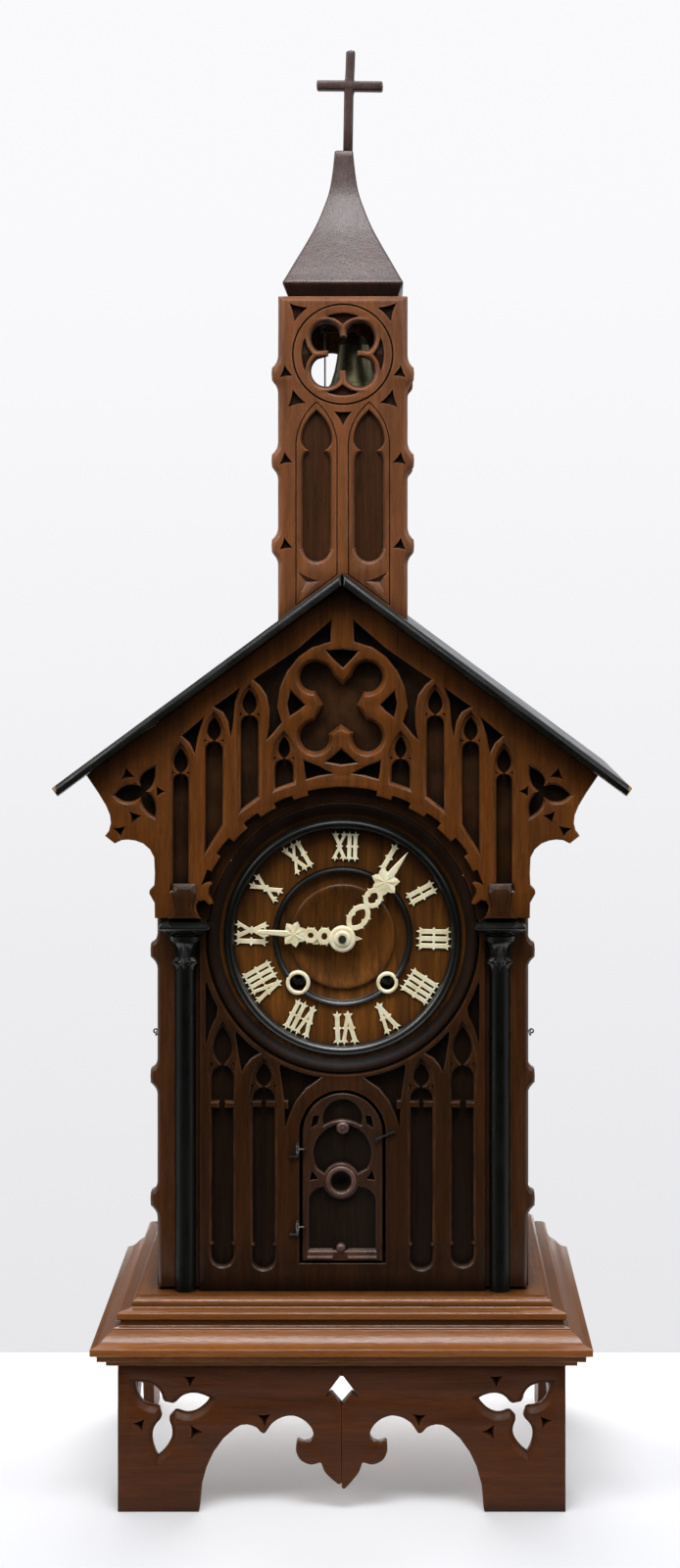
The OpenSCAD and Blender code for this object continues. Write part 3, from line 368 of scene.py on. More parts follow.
SKIN = paint("skin_paint", (0.42, 0.235, 0.15), (0.52, 0.31, 0.205), (0.42, 0.55))
HAIR = paint("hair_paint", (0.05, 0.03, 0.02), (0.085, 0.05, 0.03))
ROPE = paint("rope_paint", (0.34, 0.27, 0.16), (0.46, 0.38, 0.24))


# ------------------------------------------------------------------ mesh helpers
def finish_mesh(name, bm, mats, body, replaces=(), angle=32, smooth=True, recalc=True):
    if recalc:
        bmesh.ops.recalc_face_normals(bm, faces=bm.faces[:])
    lim = math.radians(angle)
    for f in bm.faces:
        f.smooth = smooth
    for e in bm.edges:
        e.smooth = not (len(e.link_faces) != 2 or e.calc_face_angle(4) > lim)
    me = bpy.data.meshes.new(name)
    bm.to_mesh(me)
    bm.free()
    for m in mats if isinstance(mats, (list, tuple)) else [mats]:
        me.materials.append(m)
    o = bpy.data.objects.new(name, me)
    bpy.context.scene.collection.objects.link(o)
    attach(o, body)
    if replaces:
        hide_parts(*replaces)
    return o


def area(pts):
    return 0.5 * sum(a[0] * b[1] - b[0] * a[1] for a, b in zip(pts, pts[1:] + pts[:1]))


def clean(pts, tol=0.02):
    out = []
    for p in pts:
        if not out or math.dist(p[:2], out[-1][:2]) > tol:
            out.append(tuple(p))
    while len(out) > 2 and math.dist(out[0][:2], out[-1][:2]) <= tol:
        out.pop()
    return out


def offset(pts, d, limit=0.30):
    """Moves a counter-clockwise loop inwards by d (outwards if negative); a third value scales the step."""
    n = len(pts)
    res = []
    for i in range(n):
        a, b, c = pts[i - 1], pts[i], pts[(i + 1) % n]
        e1 = (b[0] - a[0], b[1] - a[1])
        e2 = (c[0] - b[0], c[1] - b[1])
        l1, l2 = math.hypot(*e1) or 1, math.hypot(*e2) or 1
        n1 = (-e1[1] / l1, e1[0] / l1)
        n2 = (-e2[1] / l2, e2[0] / l2)
        k = max(1 + n1[0] * n2[0] + n1[1] * n2[1], limit)
        w = b[2] if len(b) > 2 else 1.0
        res.append((b[0] + (n1[0] + n2[0]) / k * d * w, b[1] + (n1[1] + n2[1]) / k * d * w))
    return untangle(pts, res, abs(d))


def untangle(pts, res, d):
    """Edges that the step has turned round are drawn together into the point where their neighbours meet."""
    n = len(pts)
    for _ in range(3):
        bad = [(res[(i + 1) % n][0] - res[i][0]) * (pts[(i + 1) % n][0] - pts[i][0]) + (res[(i + 1) % n][1] - res[i][1]) * (pts[(i + 1) % n][1] - pts[i][1]) < -1e-9 for i in range(n)]
        if not any(bad) or all(bad):
            break
        start = bad.index(False)
        i = 0
        while i < n:
            a = (start + i) % n
            if not bad[a]:
                i += 1
                continue
            k = 1
            while bad[(a + k) % n]:
                k += 1
            b = (a + k) % n
            p0, p1, q0, q1 = res[a - 1], res[a], res[b], res[(b + 1) % n]
            u, v = (p1[0] - p0[0], p1[1] - p0[1]), (q1[0] - q0[0], q1[1] - q0[1])
            det = u[0] * v[1] - u[1] * v[0]
            m = ((p1[0] + q0[0]) / 2, (p1[1] + q0[1]) / 2)
            if abs(det) > 1e-6:
                t = ((q0[0] - p0[0]) * v[1] - (q0[1] - p0[1]) * v[0]) / det
                x = (p0[0] + u[0] * t, p0[1] + u[1] * t)
                if math.dist(x, m) < 2.5 * d:
                    m = x
            for j in range(k + 1):
                res[(a + j) % n] = m
            i += k
    return res


def ccw(pts):
    pts = clean(pts)
    return pts if area(pts) > 0 else pts[::-1]


SOFT = [(0.35, 0.0), (0.1, 0.1), (0.0, 0.35)]


def cham(c, d=None, r=0.22):
    """Profile of a chamfered edge, c wide and d deep, with both arrises slightly rounded."""
    d = c if d is None else d
    return [(c + r, 0.0), (c, r * 0.45), (c * 0.06, d - r * 0.3), (0.0, d + r)]


def plate_into(bm, outer, holes, y0, y1, prof=SOFT, hole_prof=None, back_prof=((0.25, 0.25),), plane="XZ", mat=0, xf=None):
    """A pierced board: outer loop, holes as loops or (loop, profile); y0 is the front and y1 the back."""
    loops = [(ccw(outer), 1, prof)]
    for h in holes:
        if isinstance(h, tuple):
            loops.append((ccw(h[0]), -1, h[1]))
        else:
            loops.append((ccw(h), -1, hole_prof or prof))
    s = 1 if y1 > y0 else -1

    def vert(p, y):
        x, z = p[:2]
        q = (x, y, z) if plane == "XZ" else (y, x, z) if plane == "YZ" else (x, z, y)
        if xf:
            q = xf(q)
        return bm.verts.new((q[0] * MM, q[1] * MM, q[2] * MM))

    fronts, backs = [], []
    for pts, sign, pr in loops:
        if pr and pr[0] == "pit":
            rim = [vert(p_, y0) for p_ in pts]
            low = vert((sum(p_[0] for p_ in pts) / len(pts), sum(p_[1] for p_ in pts) / len(pts)), y0 + s * pr[1])
            for i in range(len(rim)):
                f = bm.faces.new((rim[i], rim[(i + 1) % len(rim)], low))
                f.material_index = mat
            fronts.append(rim)
            continue
        rings = []
        for off, dep in pr:
            rings.append([vert(p, y0 + s * dep) for p in (offset(pts, off * sign) if off else pts)])
        tail = list(back_prof or [])
        for off, dep in reversed(tail):
            rings.append([vert(p, y1 - s * dep) for p in pts])
        last = tail[0][0] if tail else 0
        rings.append([vert(p, y1) for p in (offset(pts, last * sign) if last else pts)])
        for ra, rb in zip(rings, rings[1:]):
            k = len(ra)
            for i in range(k):
                f = bm.faces.new((ra[i], ra[(i + 1) % k], rb[(i + 1) % k], rb[i]))
                f.material_index = mat
        fronts.append(rings[0])
        backs.append(rings[-1])
    for group in (fronts, backs):
        flat = [v for r in group for v in r]
        ax = (0, 2) if plane == "XZ" else (1, 2) if plane == "YZ" else (0, 1)
        polys = [[Vector((v.co[ax[0]] * 1000, v.co[ax[1]] * 1000, 0)) for v in r] for r in group]
        for tri in tessellate_polygon(polys):
            vs = [flat[i] for i in tri]
            if len(set(vs)) == 3:
                try:
                    f = bm.faces.new(vs)
                    f.material_index = mat
                except ValueError:
                    pass
    return bm


def plate(name, outer, holes, y0, y1, mats, body, slot, replaces=(), **kw):
    bm = bmesh.new()
    plate_into(bm, outer, holes, y0, y1, **kw)
    return finish_mesh(name, bm, mats, body, replaces)


def arc(cx, cz, r, a0, a1, n=16, rz=None):
    rz = r if rz is None else rz
    return [(cx + r * math.cos(math.radians(a0 + (a1 - a0) * i / n)), cz + rz * math.sin(math.radians(a0 + (a1 - a0) * i / n))) for i in range(n + 1)]


def circle(cx, cz, r, n=48):
    return arc(cx, cz, r, 0, 360 * (n - 1) / n, n - 1)


def bez(p0, p1, p2, n=8):
    return [((1 - t) ** 2 * p0[0] + 2 * t * (1 - t) * p1[0] + t * t * p2[0], (1 - t) ** 2 * p0[1] + 2 * t * (1 - t) * p1[1] + t * t * p2[1]) for t in (i / n for i in range(n + 1))]


def smooth_path(pts, n=4, closed=False):
    """Catmull-Rom through the points."""
    out = []
    k = len(pts)
    for i in range(k if closed else k - 1):
        p = [pts[(i + j) % k] if closed else pts[min(max(i + j, 0), k - 1)] for j in (-1, 0, 1, 2)]
        for t in (j / n for j in range(n)):
            out.append(tuple(0.5 * (2 * p[1][c] + (p[2][c] - p[0][c]) * t + (2 * p[0][c] - 5 * p[1][c] + 4 * p[2][c] - p[3][c]) * t * t + (3 * p[1][c] - p[0][c] - 3 * p[2][c] + p[3][c]) * t ** 3) for c in range(len(pts[0]))))
    if not closed:
        out.append(tuple(pts[-1]))
    return out


def lathe_into(bm, prof, centre, axis="Y", n=96, mat=0, a0=0, a1=360, mats=None):
    """Turned piece: prof is (radius, distance along the axis)."""
    cx, cy, cz = centre
    full = abs(a1 - a0) >= 360
    steps = n if full else n + 1
    rings = []
    for r, h in prof:
        if r < 1e-6:
            p = (cx, cy + h, cz) if axis == "Y" else (cx, cy, cz + h)
            rings.append([bm.verts.new([c * MM for c in p])])
            continue
        ring = []
        for i in range(steps):
            a = math.radians(a0 + (a1 - a0) * i / n)
            c, s = math.cos(a) * r, math.sin(a) * r
            p = (cx + c, cy + h, cz + s) if axis == "Y" else (cx + c, cy + s, cz + h) if axis == "Z" else (cx + h, cy + c, cz + s)
            ring.append(bm.verts.new([q * MM for q in p]))
        rings.append(ring)
    for k, (ra, rb) in enumerate(zip(rings, rings[1:])):
        m = mats[k] if mats else mat
        if len(ra) == 1 and len(rb) == 1:
            continue
        cnt = steps if full else steps - 1
        for i in range(cnt):
            j = (i + 1) % steps
            if len(ra) == 1:
                f = bm.faces.new((ra[0], rb[j], rb[i]))
            elif len(rb) == 1:
                f = bm.faces.new((ra[i], ra[j], rb[0]))
            else:
                f = bm.faces.new((ra[i], ra[j], rb[j], rb[i]))
            f.material_index = m
    return bm


def tube_into(bm, path, r, n=10, mat=0, cap=True, closed=False):
    pts = [Vector(p) * MM for p in path]
    rings = []
    up = Vector((0, 0, 1))
    prev = None
    k = len(pts)
    for i, p in enumerate(pts):
        a = pts[i - 1] if (i or closed) else p
        b = pts[(i + 1) % k] if (i < k - 1 or closed) else p
        d = (b - a).normalized()
        if prev is None:
            side = d.cross(up)
            if side.length < 1e-3:
                side = d.cross(Vector((1, 0, 0)))
            side.normalize()
        else:
            side = (prev - d * prev.dot(d)).normalized()
        prev = side
        top = d.cross(side).normalized()
        rr = (r(i / max(k - 1, 1)) if callable(r) else r) * MM
        rings.append([bm.verts.new(p + (side * math.cos(2 * math.pi * j / n) + top * math.sin(2 * math.pi * j / n)) * rr) for j in range(n)])
    pairs = list(zip(rings, rings[1:])) + ([(rings[-1], rings[0])] if closed else [])
    for ra, rb in pairs:
        for j in range(n):
            f = bm.faces.new((ra[j], ra[(j + 1) % n], rb[(j + 1) % n], rb[j]))
            f.material_index = mat
    if cap and not closed:
        for ring in (rings[0][::-1], rings[-1]):
            f = bm.faces.new(ring)
            f.material_index = mat
    return bm


# ------------------------------------------------------------------ CAD nodes that stay
def keep(node, *mats, bevel=0.0, seg=2):
    o = N[node]
    for i in range(max(len(o.material_slots), 1)):
        if i < len(o.material_slots):
            o.material_slots[i].link = "OBJECT"
            o.material_slots[i].material = mats[min(i, len(mats) - 1)]
    if bevel:
        w = o.modifiers.new("weld", "WELD")
        w.merge_threshold = 1e-6
        b = o.modifiers.new("bevel", "BEVEL")
        b.width = bevel * MM
        b.segments = seg
        b.limit_method = "ANGLE"
        b.angle_limit = math.radians(35)
    return o


for n_ in ("case_side_left", "case_side_right"):
    keep(n_, W_SIDE, bevel=0.5)
keep("case_back", W_INNER, bevel=0.5)
keep("back_door", W_INNER, bevel=0.6)
keep("side_door_left", W_SIDE, bevel=0.4)
keep("side_door_right", W_SIDE, bevel=0.4)
keep("seat_board", W_INNER_X, bevel=0.5)
keep("gong_post", W_INNER, bevel=0.6)
keep("niche", W_INNER, bevel=0.5)
keep("bell_bracket", W_INNER_X, bevel=0.4)
keep("going_great_wheel", BRASS_STEEL)
keep("strike_great_wheel", BRASS_STEEL)
keep("centre_arbor", STEEL)
for n_ in ("movement_frame", "hour_wheel", "minute_wheel", "third_wheel", "escape_wheel", "pin_wheel", "fly", "pendulum"):
    keep(n_, BRASS)
for n_ in ("gong", "hammer", "hinge_pins", "door_latch", "side_latch_left", "side_latch_right", "pull_wire", "clapper"):
    keep(n_, STEEL)
keep("bell", BELL)

# ------------------------------------------------------------------ feet
F_LEFT = [(-149.9, 97.9), (-149.9, 0.0), (-149.6, 0.0), (-95.6, 0.0), (-94.9, 3.3), (-94.4, 10.5), (-93.6, 18.4), (-90.3, 30.2), (-85.7, 40), (-79.1, 49.2), (-71.3, 56.0), (-67.5, 58.0), (-63.4, 58.4), (-59.8, 57.6), (-56.8, 56.2), (-54.6, 53.6), (-52.7, 52.4), (-51.0, 52.8)]
F_ARCH = smooth_path([(-51.0, 52.8), (-49.0, 55.8), (-45.7, 59.9), (-39.8, 63.2), (-33.2, 64.3), (-26.8, 62.2), (-21.4, 57.6), (-18.9, 52.2), (-19.4, 48.6)], 4)
F_SCROLL = smooth_path([(-19.4, 48.6), (-21.0, 46.6), (-25.4, 45.6), (-29.6, 46.9), (-30.6, 42.7), (-30.2, 39.4), (-27.4, 34.4), (-20.8, 31.5), (-14.6, 32.8), (-13.2, 31.0), (-11.4, 26.8), (-7.0, 22.2), (-2.6, 18.6)], 3)


def petal(cx, cz, tx, tz, w, root=0.16, n=10):
    """Half loops of a pointed leaf from near the centre to its tip."""
    dx, dz = tx - cx, tz - cz
    ln = math.hypot(dx, dz)
    ux, uz = dx / ln, dz / ln
    vx, vz = -uz, ux
    left, right = [], []
    for i in range(n + 1):
        t = root + (1 - root) * i / n
        s = (t - root) / (1 - root)
        h = w / 2 * math.sin(math.pi * s ** 0.86) ** 0.82 if 0 < s < 1 else 0
        h = max(h, w * 0.2 * (1 - s) ** 1.5)
        left.append((cx + ux * ln * t + vx * h, cz + uz * ln * t + vz * h))
        right.append((cx + ux * ln * t - vx * h, cz + uz * ln * t - vz * h))
    return left, right


def trefoil(cx, cz, tips, w, n=10):
    """Closed loop of three pointed leaves; tips run counter-clockwise."""
    tips = sorted(tips, key=lambda t: math.atan2(t[1] - cz, t[0] - cx))
    loop = []
    for tx, tz in tips:
        l, r = petal(cx, cz, tx, tz, w, n=n)
        loop += r + l[::-1][1:]
    return clean(loop, 0.05)


def chip_loop(cx, cz, size, rot, stretch=1.0):
    r = math.radians(rot)
    a, b, c = (-size * 0.5, -size * 0.29 * stretch), (size * 0.5, -size * 0.29 * stretch), (0, size * 0.58 * stretch)
    pts = bez(a, (0, -size * 0.2 * stretch), b, 4)[:-1] + bez(b, (size * 0.18, size * 0.09 * stretch), c, 4)[:-1] + bez(c, (-size * 0.18, size * 0.09 * stretch), a, 4)[:-1]
    return [(cx + x * math.cos(r) - z * math.sin(r), cz + x * math.sin(r) + z * math.cos(r)) for x, z in pts]


CHIP = ("pit", 2.3)
DART = ("pit", 2.6)


def foot_loop(right=False):
    half = F_LEFT + F_ARCH[1:] + F_SCROLL[1:]
    half += [(-2.6, 18.6), (-1.4, 18.4), (-0.03, 19.6), (-0.03, 71.6)]
    half += [(-6.6, 79.2), (-11.2, 76.9), (-8.2, 81.2), (-0.9, 90.8), (-0.03, 90.6), (-0.03, 97.9)]
    if right:
        half = [(-x, z) for x, z in half]
        half = [((x + 0.0, z - 3.6 * max(0, 1 - abs(x) / 14) ** 1.2) if z < 34 and abs(x) < 14 else (x, z)) for x, z in half]
        half = [(max(x, 0.03), max(z, 0.0)) for x, z in half]
    return clean(half, 0.05)


FOOT_PROF = [(0.55, 0.0), (0.18, 0.16), (0.0, 0.55)]
TREF_L = trefoil(-117.2, 67.6, [(-138.2, 85.6), (-88.2, 74.8), (-123.2, 36.0)], 13.2)
TREF_R = trefoil(118.2, 67.6, [(139.8, 85.0), (91.4, 74.8), (124.2, 38.8)], 13.2)
CHIPS_L = [(-101.5, 88.4, 8.6, 180), (-98.3, 53.5, 9.8, 150), (-135.0, 58.5, 8.4, 80), (-51.8, 62.6, 9.4, 184)]
CHIPS_R = [(103.5, 88.4, 8.6, 180), (99.3, 53.5, 9.8, 210), (136.0, 60.5, 8.4, -80), (51.8, 62.6, 9.4, 176)]
for side_, tref, chips in (("left", TREF_L, CHIPS_L), ("right", TREF_R, CHIPS_R)):
    bm = bmesh.new()
    holes = [(tref, cham(3.6, 3.6, 0.3))] + [(chip_loop(*c), ("pit", 4.6)) for c in chips]
    plate_into(bm, foot_loop(side_ == "right"), holes, -97.5, -89.5, prof=FOOT_PROF, back_prof=((0.3, 0.3),))
    finish_mesh("foot_front_" + side_ + "_pierced", bm, W_FOOT, "case", ["foot_front_" + side_])

S_OUT = [(-89.4, 97.9), (-89.4, 0), (-50, 0), (-49.4, 6), (-48.8, 18), (-45.7, 30), (-41, 40), (-34.5, 49.2), (-26.7, 56), (-22.5, 58), (-18.8, 58.4), (-14.6, 57.4), (-12.2, 56.2), (-10.2, 53.8), (-8.3, 52.6), (-6.6, 53.6), (-3, 57.2), (0.5, 59), (4, 59.5), (7.5, 59), (11, 57.2), (14.6, 53.6), (16.3, 52.6), (18.2, 53.8), (20.2, 56.2), (22.6, 57.4), (26.8, 58.4), (30.5, 58), (34.7, 56), (42.5, 49.2), (49, 40), (53.7, 30), (56.8, 18), (57.4, 6), (58, 0), (97.4, 0), (97.4, 97.9)]
for s_, nm in ((-1, "left"), (1, "right")):
    bm = bmesh.new()
    t1 = trefoil(-66, 66, [(-82, 82), (-42, 73), (-71, 39)], 12)
    t2 = trefoil(75, 66, [(90, 82), (51, 73), (80, 39)], 12)
    plate_into(bm, S_OUT, [(t1, cham(2.6, 3.0, 0.3)), (t2, cham(2.6, 3.0, 0.3))] + [(chip_loop(-57.5, 88, 8.6, 180), CHIP), (chip_loop(66.5, 88, 8.6, 180), CHIP)], s_ * 150, s_ * 142, prof=FOOT_PROF, back_prof=((0.3, 0.3),), plane="YZ")
    finish_mesh("foot_side_" + nm + "_pierced", bm, W_FOOT_Y, "case", ["foot_side_" + nm])


# ------------------------------------------------------------------ plinth
def rail(name, prof, node, mats):
    """Moulding that runs round the front and both sides; prof is (half width, z), bottom to top."""
    bm = bmesh.new()
    back = 107.5
    rows = []
    for h, z in prof:
        f = -(h - 167.4 + 107.5)
        rows.append([bm.verts.new((x * MM, y * MM, z * MM)) for x, y in ((-h, back), (-h, f), (h, f), (h, back))])
    for a, b in zip(rows, rows[1:]):
        for i in range(4):
            f = bm.faces.new((a[i], a[(i + 1) % 4], b[(i + 1) % 4], b[i]))
            f.material_index = {1: 0, 3: 2}.get(i, 1)
    for f in (bm.faces.new(rows[0]), bm.faces.new(rows[-1][::-1])):
        f.material_index = 1
    return finish_mesh(name, bm, mats, "case", [node], angle=28)


low = [(157.8, 98.0), (157.8, 101.9), (158.1, 102.3), (162.9, 102.3), (163.3, 102.7), (163.3, 106.6), (163.7, 107.1), (166.9, 107.2), (167.4, 107.7), (167.4, 111.6), (167.0, 112.2), (165.8, 112.5)]
low += bez((165.8, 112.5), (162.4, 112.9), (160.3, 115.2), 6)[1:] + bez((160.3, 115.2), (157.6, 118.2), (153.9, 119.9), 6)[1:]
low += [(153.5, 120.5), (153.5, 121.3), (153.1, 121.7), (149.8, 121.7), (149.5, 122.0), (149.5, 122.5)]
rail("plinth_lower_moulding", low, "plinth_lower", [W_PLINTH, W_PLINTH_Y, W_FOOT])
up = [(149.2, 122.5), (149.2, 125.8), (149.6, 126.1), (150.7, 126.2), (151.0, 126.6), (151.0, 129.6)]
up += bez((151.0, 129.6), (150.9, 131.0), (148.2, 131.4), 5)[1:] + [(142.6, 131.6), (142.2, 132.0)]
up += bez((142.2, 132.0), (142.6, 136.4), (139.0, 137.2), 7)[1:] + [(137.7, 137.4), (137.5, 137.8), (137.5, 138.5)]
rail("plinth_upper_moulding", up, "plinth_upper", [W_PLINTH, W_PLINTH_Y, W_FOOT])

# ------------------------------------------------------------------ stage
ground = bpy.data.meshes.new("floor")
bm = bmesh.new()
rows = []
for inset, z in ((0.0, -0.03), (0.0, -0.008), (0.0024, -0.0024), (0.008, 0.0)):
    hx, y_f, y_b, rc = 0.62 - inset, -0.30 + inset, 0.2 - inset, 0.05 - inset
    row = []
    for sx, yy, a0 in ((1, y_f + rc, -90), (1, y_b - rc, 0), (-1, y_b - rc, 90), (-1, y_f + rc, 180)):
        for i in range(7):
            an = math.radians(a0 + 15 * i)
            row.append(bm.verts.new((sx * (hx - rc) + rc * math.cos(an), yy + rc * math.sin(an), z)))
    rows.append(row)
for a, b in zip(rows, rows[1:]):
    for i in range(len(a)):
        bm.faces.new((a[i], a[(i + 1) % len(a)], b[(i + 1) % len(a)], b[i])).smooth = True
bm.faces.new(rows[-1])
bmesh.ops.recalc_face_normals(bm, faces=bm.faces[:])
bm.to_mesh(ground)
bm.free()
floor = bpy.data.objects.new("floor", ground)
bpy.context.scene.collection.objects.link(floor)
mb = bpy.data.materials.new("paper")
tb = Tree(mb)
pb = tb.add("ShaderNodeBsdfPrincipled")
tb.link(tb.ramp(tb.noise(tb.coords((1, 1, 1)), 3, 2), [(0.3, (0.595, 0.597, 0.608)), (0.7, (0.62, 0.622, 0.633))]), pb.inputs["Base Color"])
pb.inputs["Roughness"].default_value = 0.9
pb.inputs["Specular IOR Level"].default_value = 0.1
tb.link(pb.outputs[0], tb.out.inputs["Surface"])
ground.materials.append(mb)

world = bpy.data.worlds.new("studio")
bpy.context.scene.world = world
world.use_nodes = True
wt = world.node_tree
wt.nodes.clear()
wo = wt.nodes.new("ShaderNodeOutputWorld")
wb = wt.nodes.new("ShaderNodeBackground")
wc = wt.nodes.new("ShaderNodeTexCoord")
ws = wt.nodes.new("ShaderNodeSeparateXYZ")
wt.links.new(wc.outputs["Generated"], ws.inputs[0])


def wmath(op, a, b):
    m = wt.nodes.new("ShaderNodeMath")
    m.operation = op
    for sock, val in zip(m.inputs, (a, b)):
        if isinstance(val, (int, float)):
            sock.default_value = val
        else:
            wt.links.new(val, sock)
    return m.outputs[0]


def wspan(v, a, b, lo_, hi_):
    m = wt.nodes.new("ShaderNodeMapRange")
    m.interpolation_type = "SMOOTHSTEP"
    for k_, val in zip(("From Min", "From Max", "To Min", "To Max"), (a, b, lo_, hi_)):
        m.inputs[k_].default_value = val
    wt.links.new(v, m.inputs["Value"])
    return m.outputs["Result"]


# bright above and behind, soft at the sides, dim in front
above = wspan(ws.outputs["Z"], 0.2, 0.9, 0.0, 0.85)
side = wspan(wmath("ABSOLUTE", ws.outputs["X"], 0.0), 0.5, 1.0, 0.0, 0.28)
rear = wspan(ws.outputs["Y"], -0.1, 0.45, 0.0, 0.85)
wt.links.new(wmath("ADD", wmath("ADD", above, side), wmath("ADD", rear, 0.02)), wb.inputs["Strength"])
wb.inputs["Color"].default_value = (0.94, 0.96, 1.0, 1)
# what is seen past the clock is plain and pale from every side
wv = wt.nodes.new("ShaderNodeBackground")
wv.inputs["Color"].default_value = (0.965, 0.965, 0.985, 1)
wt.links.new(wspan(ws.outputs["Z"], -0.45, 0.2, 0.82, 0.985), wv.inputs["Strength"])
wx = wt.nodes.new("ShaderNodeMixShader")
wp = wt.nodes.new("ShaderNodeLightPath")
wt.links.new(wp.outputs["Is Camera Ray"], wx.inputs[0])
wt.links.new(wb.outputs[0], wx.inputs[1])
wt.links.new(wv.outputs[0], wx.inputs[2])
wt.links.new(wx.outputs[0], wo.inputs[0])


def lamp(name, loc, target, size, power, color=(1, 1, 1), size_y=None):
    d = bpy.data.lights.new(name, "AREA")
    d.shape = "RECTANGLE"
    d.size = size
    d.size_y = size_y or size
    d.energy = power
    d.color = color
    o = bpy.data.objects.new(name, d)
    o.location = loc
    o.rotation_euler = (Vector(target) - Vector(loc)).to_track_quat("-Z", "Y").to_euler()
    bpy.context.scene.collection.objects.link(o)
    return o


lamp("top", (0.0, -0.95, 2.2), (0, -0.05, 0.55), 1.3, 36, (0.97, 0.975, 1.0), 0.6)
lamp("left", (-1.9, -1.1, 1.7), (0, 0, 0.5), 0.8, 19, (1.0, 0.96, 0.91))
lamp("right", (1.9, -1.0, 1.5), (0, 0, 0.5), 0.8, 10, (1.0, 0.97, 0.94))
lamp("behind", (0, 0.28, 0.13), (0, 0.04, 0.0), 0.42, 1.5, (1.0, 0.985, 0.96), 0.05)
lamp("gloss", (0.0, -1.55, 1.75), (0, -0.08, 0.25), 0.55, 2.6, (0.97, 0.97, 1.0), 0.28).visible_diffuse = False
bpy.context.scene.view_settings.view_transform = "Standard"
bpy.context.scene.view_settings.look = "None"

# ------------------------------------------------------------------ facade
def lancet(cx, apex, neck, hh, hb, sill, gap=0.45, head_w=0.5, body_w=1.0, foot="flat", foot_r=None, step=None, bars=None):
    """Outline of a gothic window with two cusps at the neck; weights scale the chamfer."""
    hgt = apex - neck
    r = [(0, apex, head_w * 0.8)]
    r += [(x, z, head_w) for x, z in bez((0, apex), (hh * 0.92, neck + hgt * 0.74), (hh, neck + hgt * 0.44), 5)[1:]]
    r += [(x, z, head_w * 0.9) for x, z in bez((hh, neck + hgt * 0.44), (hh * 1.0, neck + hgt * 0.2), (gap, neck + 0.35), 4)[1:]]
    r += [(gap, neck - 0.35, head_w * 0.9)]
    s = hb * 1.15
    r += [(x, z, head_w * 0.9 + (body_w - head_w * 0.9) * i / 4) for i, (x, z) in enumerate(bez((gap, neck - 0.35), (hb, neck - s * 0.22), (hb, neck - s), 4)[1:], 1)]
    l = [(-x, z, w) for x, z, w in r[::-1]][:-1]
    rr, ll = list(r), list(l)
    if bars:
        z1, z0, gl, gr = bars
        rr += [(hb, z1, 0.55), (gr, z1, 0.55), (gr, z0, 0.3), (hb, z0, 0.4)]
        ll = [(-hb, z0, 0.4), (gl, z0, 0.3), (gl, z1, 0.55), (-hb, z1, 0.55)] + ll
    if foot == "round":
        k = step or 0
        if k:
            tick = [(hb, k + 2.0, body_w), (hb - 1.2, k + 0.4, 0.6), (foot_r, k - 1.6, body_w)]
            rr += tick
            ll = [(-x, z, w) for x, z, w in tick[::-1]] + ll
        mid = [(foot_r * math.cos(math.radians(-180 * i / 12)), sill + foot_r + foot_r * math.sin(math.radians(-180 * i / 12)), body_w) for i in range(13)]
    elif foot == "slope":
        mid = [(hb, sill[1], body_w), (-hb, sill[0], body_w)]
    else:
        mid = [(hb, sill, body_w), (-hb, sill, body_w)]
    return [(cx + x, z, w) for x, z, w in rr + mid + ll]


def hood(cx, apex, neck, hw, sill_loop):
    """Plain pointed opening of the front layer round a lancet; below the neck it follows the window."""
    up = [(cx, apex, 0.8)]
    right = [(cx + x, z, 0.8) for x, z in bez((0, apex), (hw * 0.95, neck + (apex - neck) * 0.66), (hw, neck - 1.5), 8)[1:]]
    left = [(2 * cx - x, z, w) for x, z, w in right[::-1]]
    low = [p for p in sill_loop if p[1] < neck - hw * 1.5]
    rr = [p for p in low if p[0] > cx]
    ll = [p for p in low if p[0] <= cx]
    rr.sort(key=lambda p: 0)
    return up + right + rr + ll + left


def eyelets(cx, neck, hb, size=2.2, dz=0.9):
    return [chip_loop(cx - hb - 0.2, neck + dz, size, 150, 1.2), chip_loop(cx + hb + 0.2, neck + dz, size, 210, 1.2)]


def wts(pts, w=1.0):
    return [(p[0], p[1], w) for p in pts]


def flip(pts):
    return [(-p[0],) + tuple(p[1:]) for p in pts]


DOOR_HOLE = [(-29.5, 157.4), (29.5, 157.4)] + arc(0, 246, 29.5, 0, 180, 24)
DEEP = [(0.9, 0.0), (0.55, 0.15), (0.0, 0.75)]
FINE = [(0.25, 0.0), (0.0, 0.3)]

tr_outer = [(-97.4, 138.7), (97.4, 138.7), (97.4, 391.5)] + arc(0, DZ, 93.6, 7.6, -187.6, 72) + [(-97.4, 391.5)]
lan_a = lancet(-81.9, 318.4, 292.0, 6.2, 7.3, 155.4, gap=0.5, head_w=0.8, foot="round", foot_r=7.6, step=170.3, bars=(267.8, 263.3, -1.9, 1.5))
lan_b = lancet(-53.8, 293.2, 277.0, 5.0, 7.3, 153.4, gap=0.5, head_w=0.8, foot="round", foot_r=7.6, step=169.5, bars=(267.8, 263.3, -1.2, 1.2))
front_a = hood(-81.9, 321.6, 291, 8.9, lan_a)
front_b = hood(-53.8, 296.6, 275, 8.6, lan_b)
sp_left = [(-93.2, 347.0), (-93.2, 306.5), (-91.0, 315.0), (-88.2, 321.4), (-85.8, 326.2)] + arc(0, DZ, 97.4, 209.0, 198.0, 6)
sp_mid = [(-73.0, 314.0), (-71.6, 305.0), (-70.4, 297.0), (-68.6, 287.5), (-66.4, 292.2), (-62.0, 297.4), (-57.4, 300.0)] + arc(0, DZ, 96.4, 234.4, 221.4, 6)
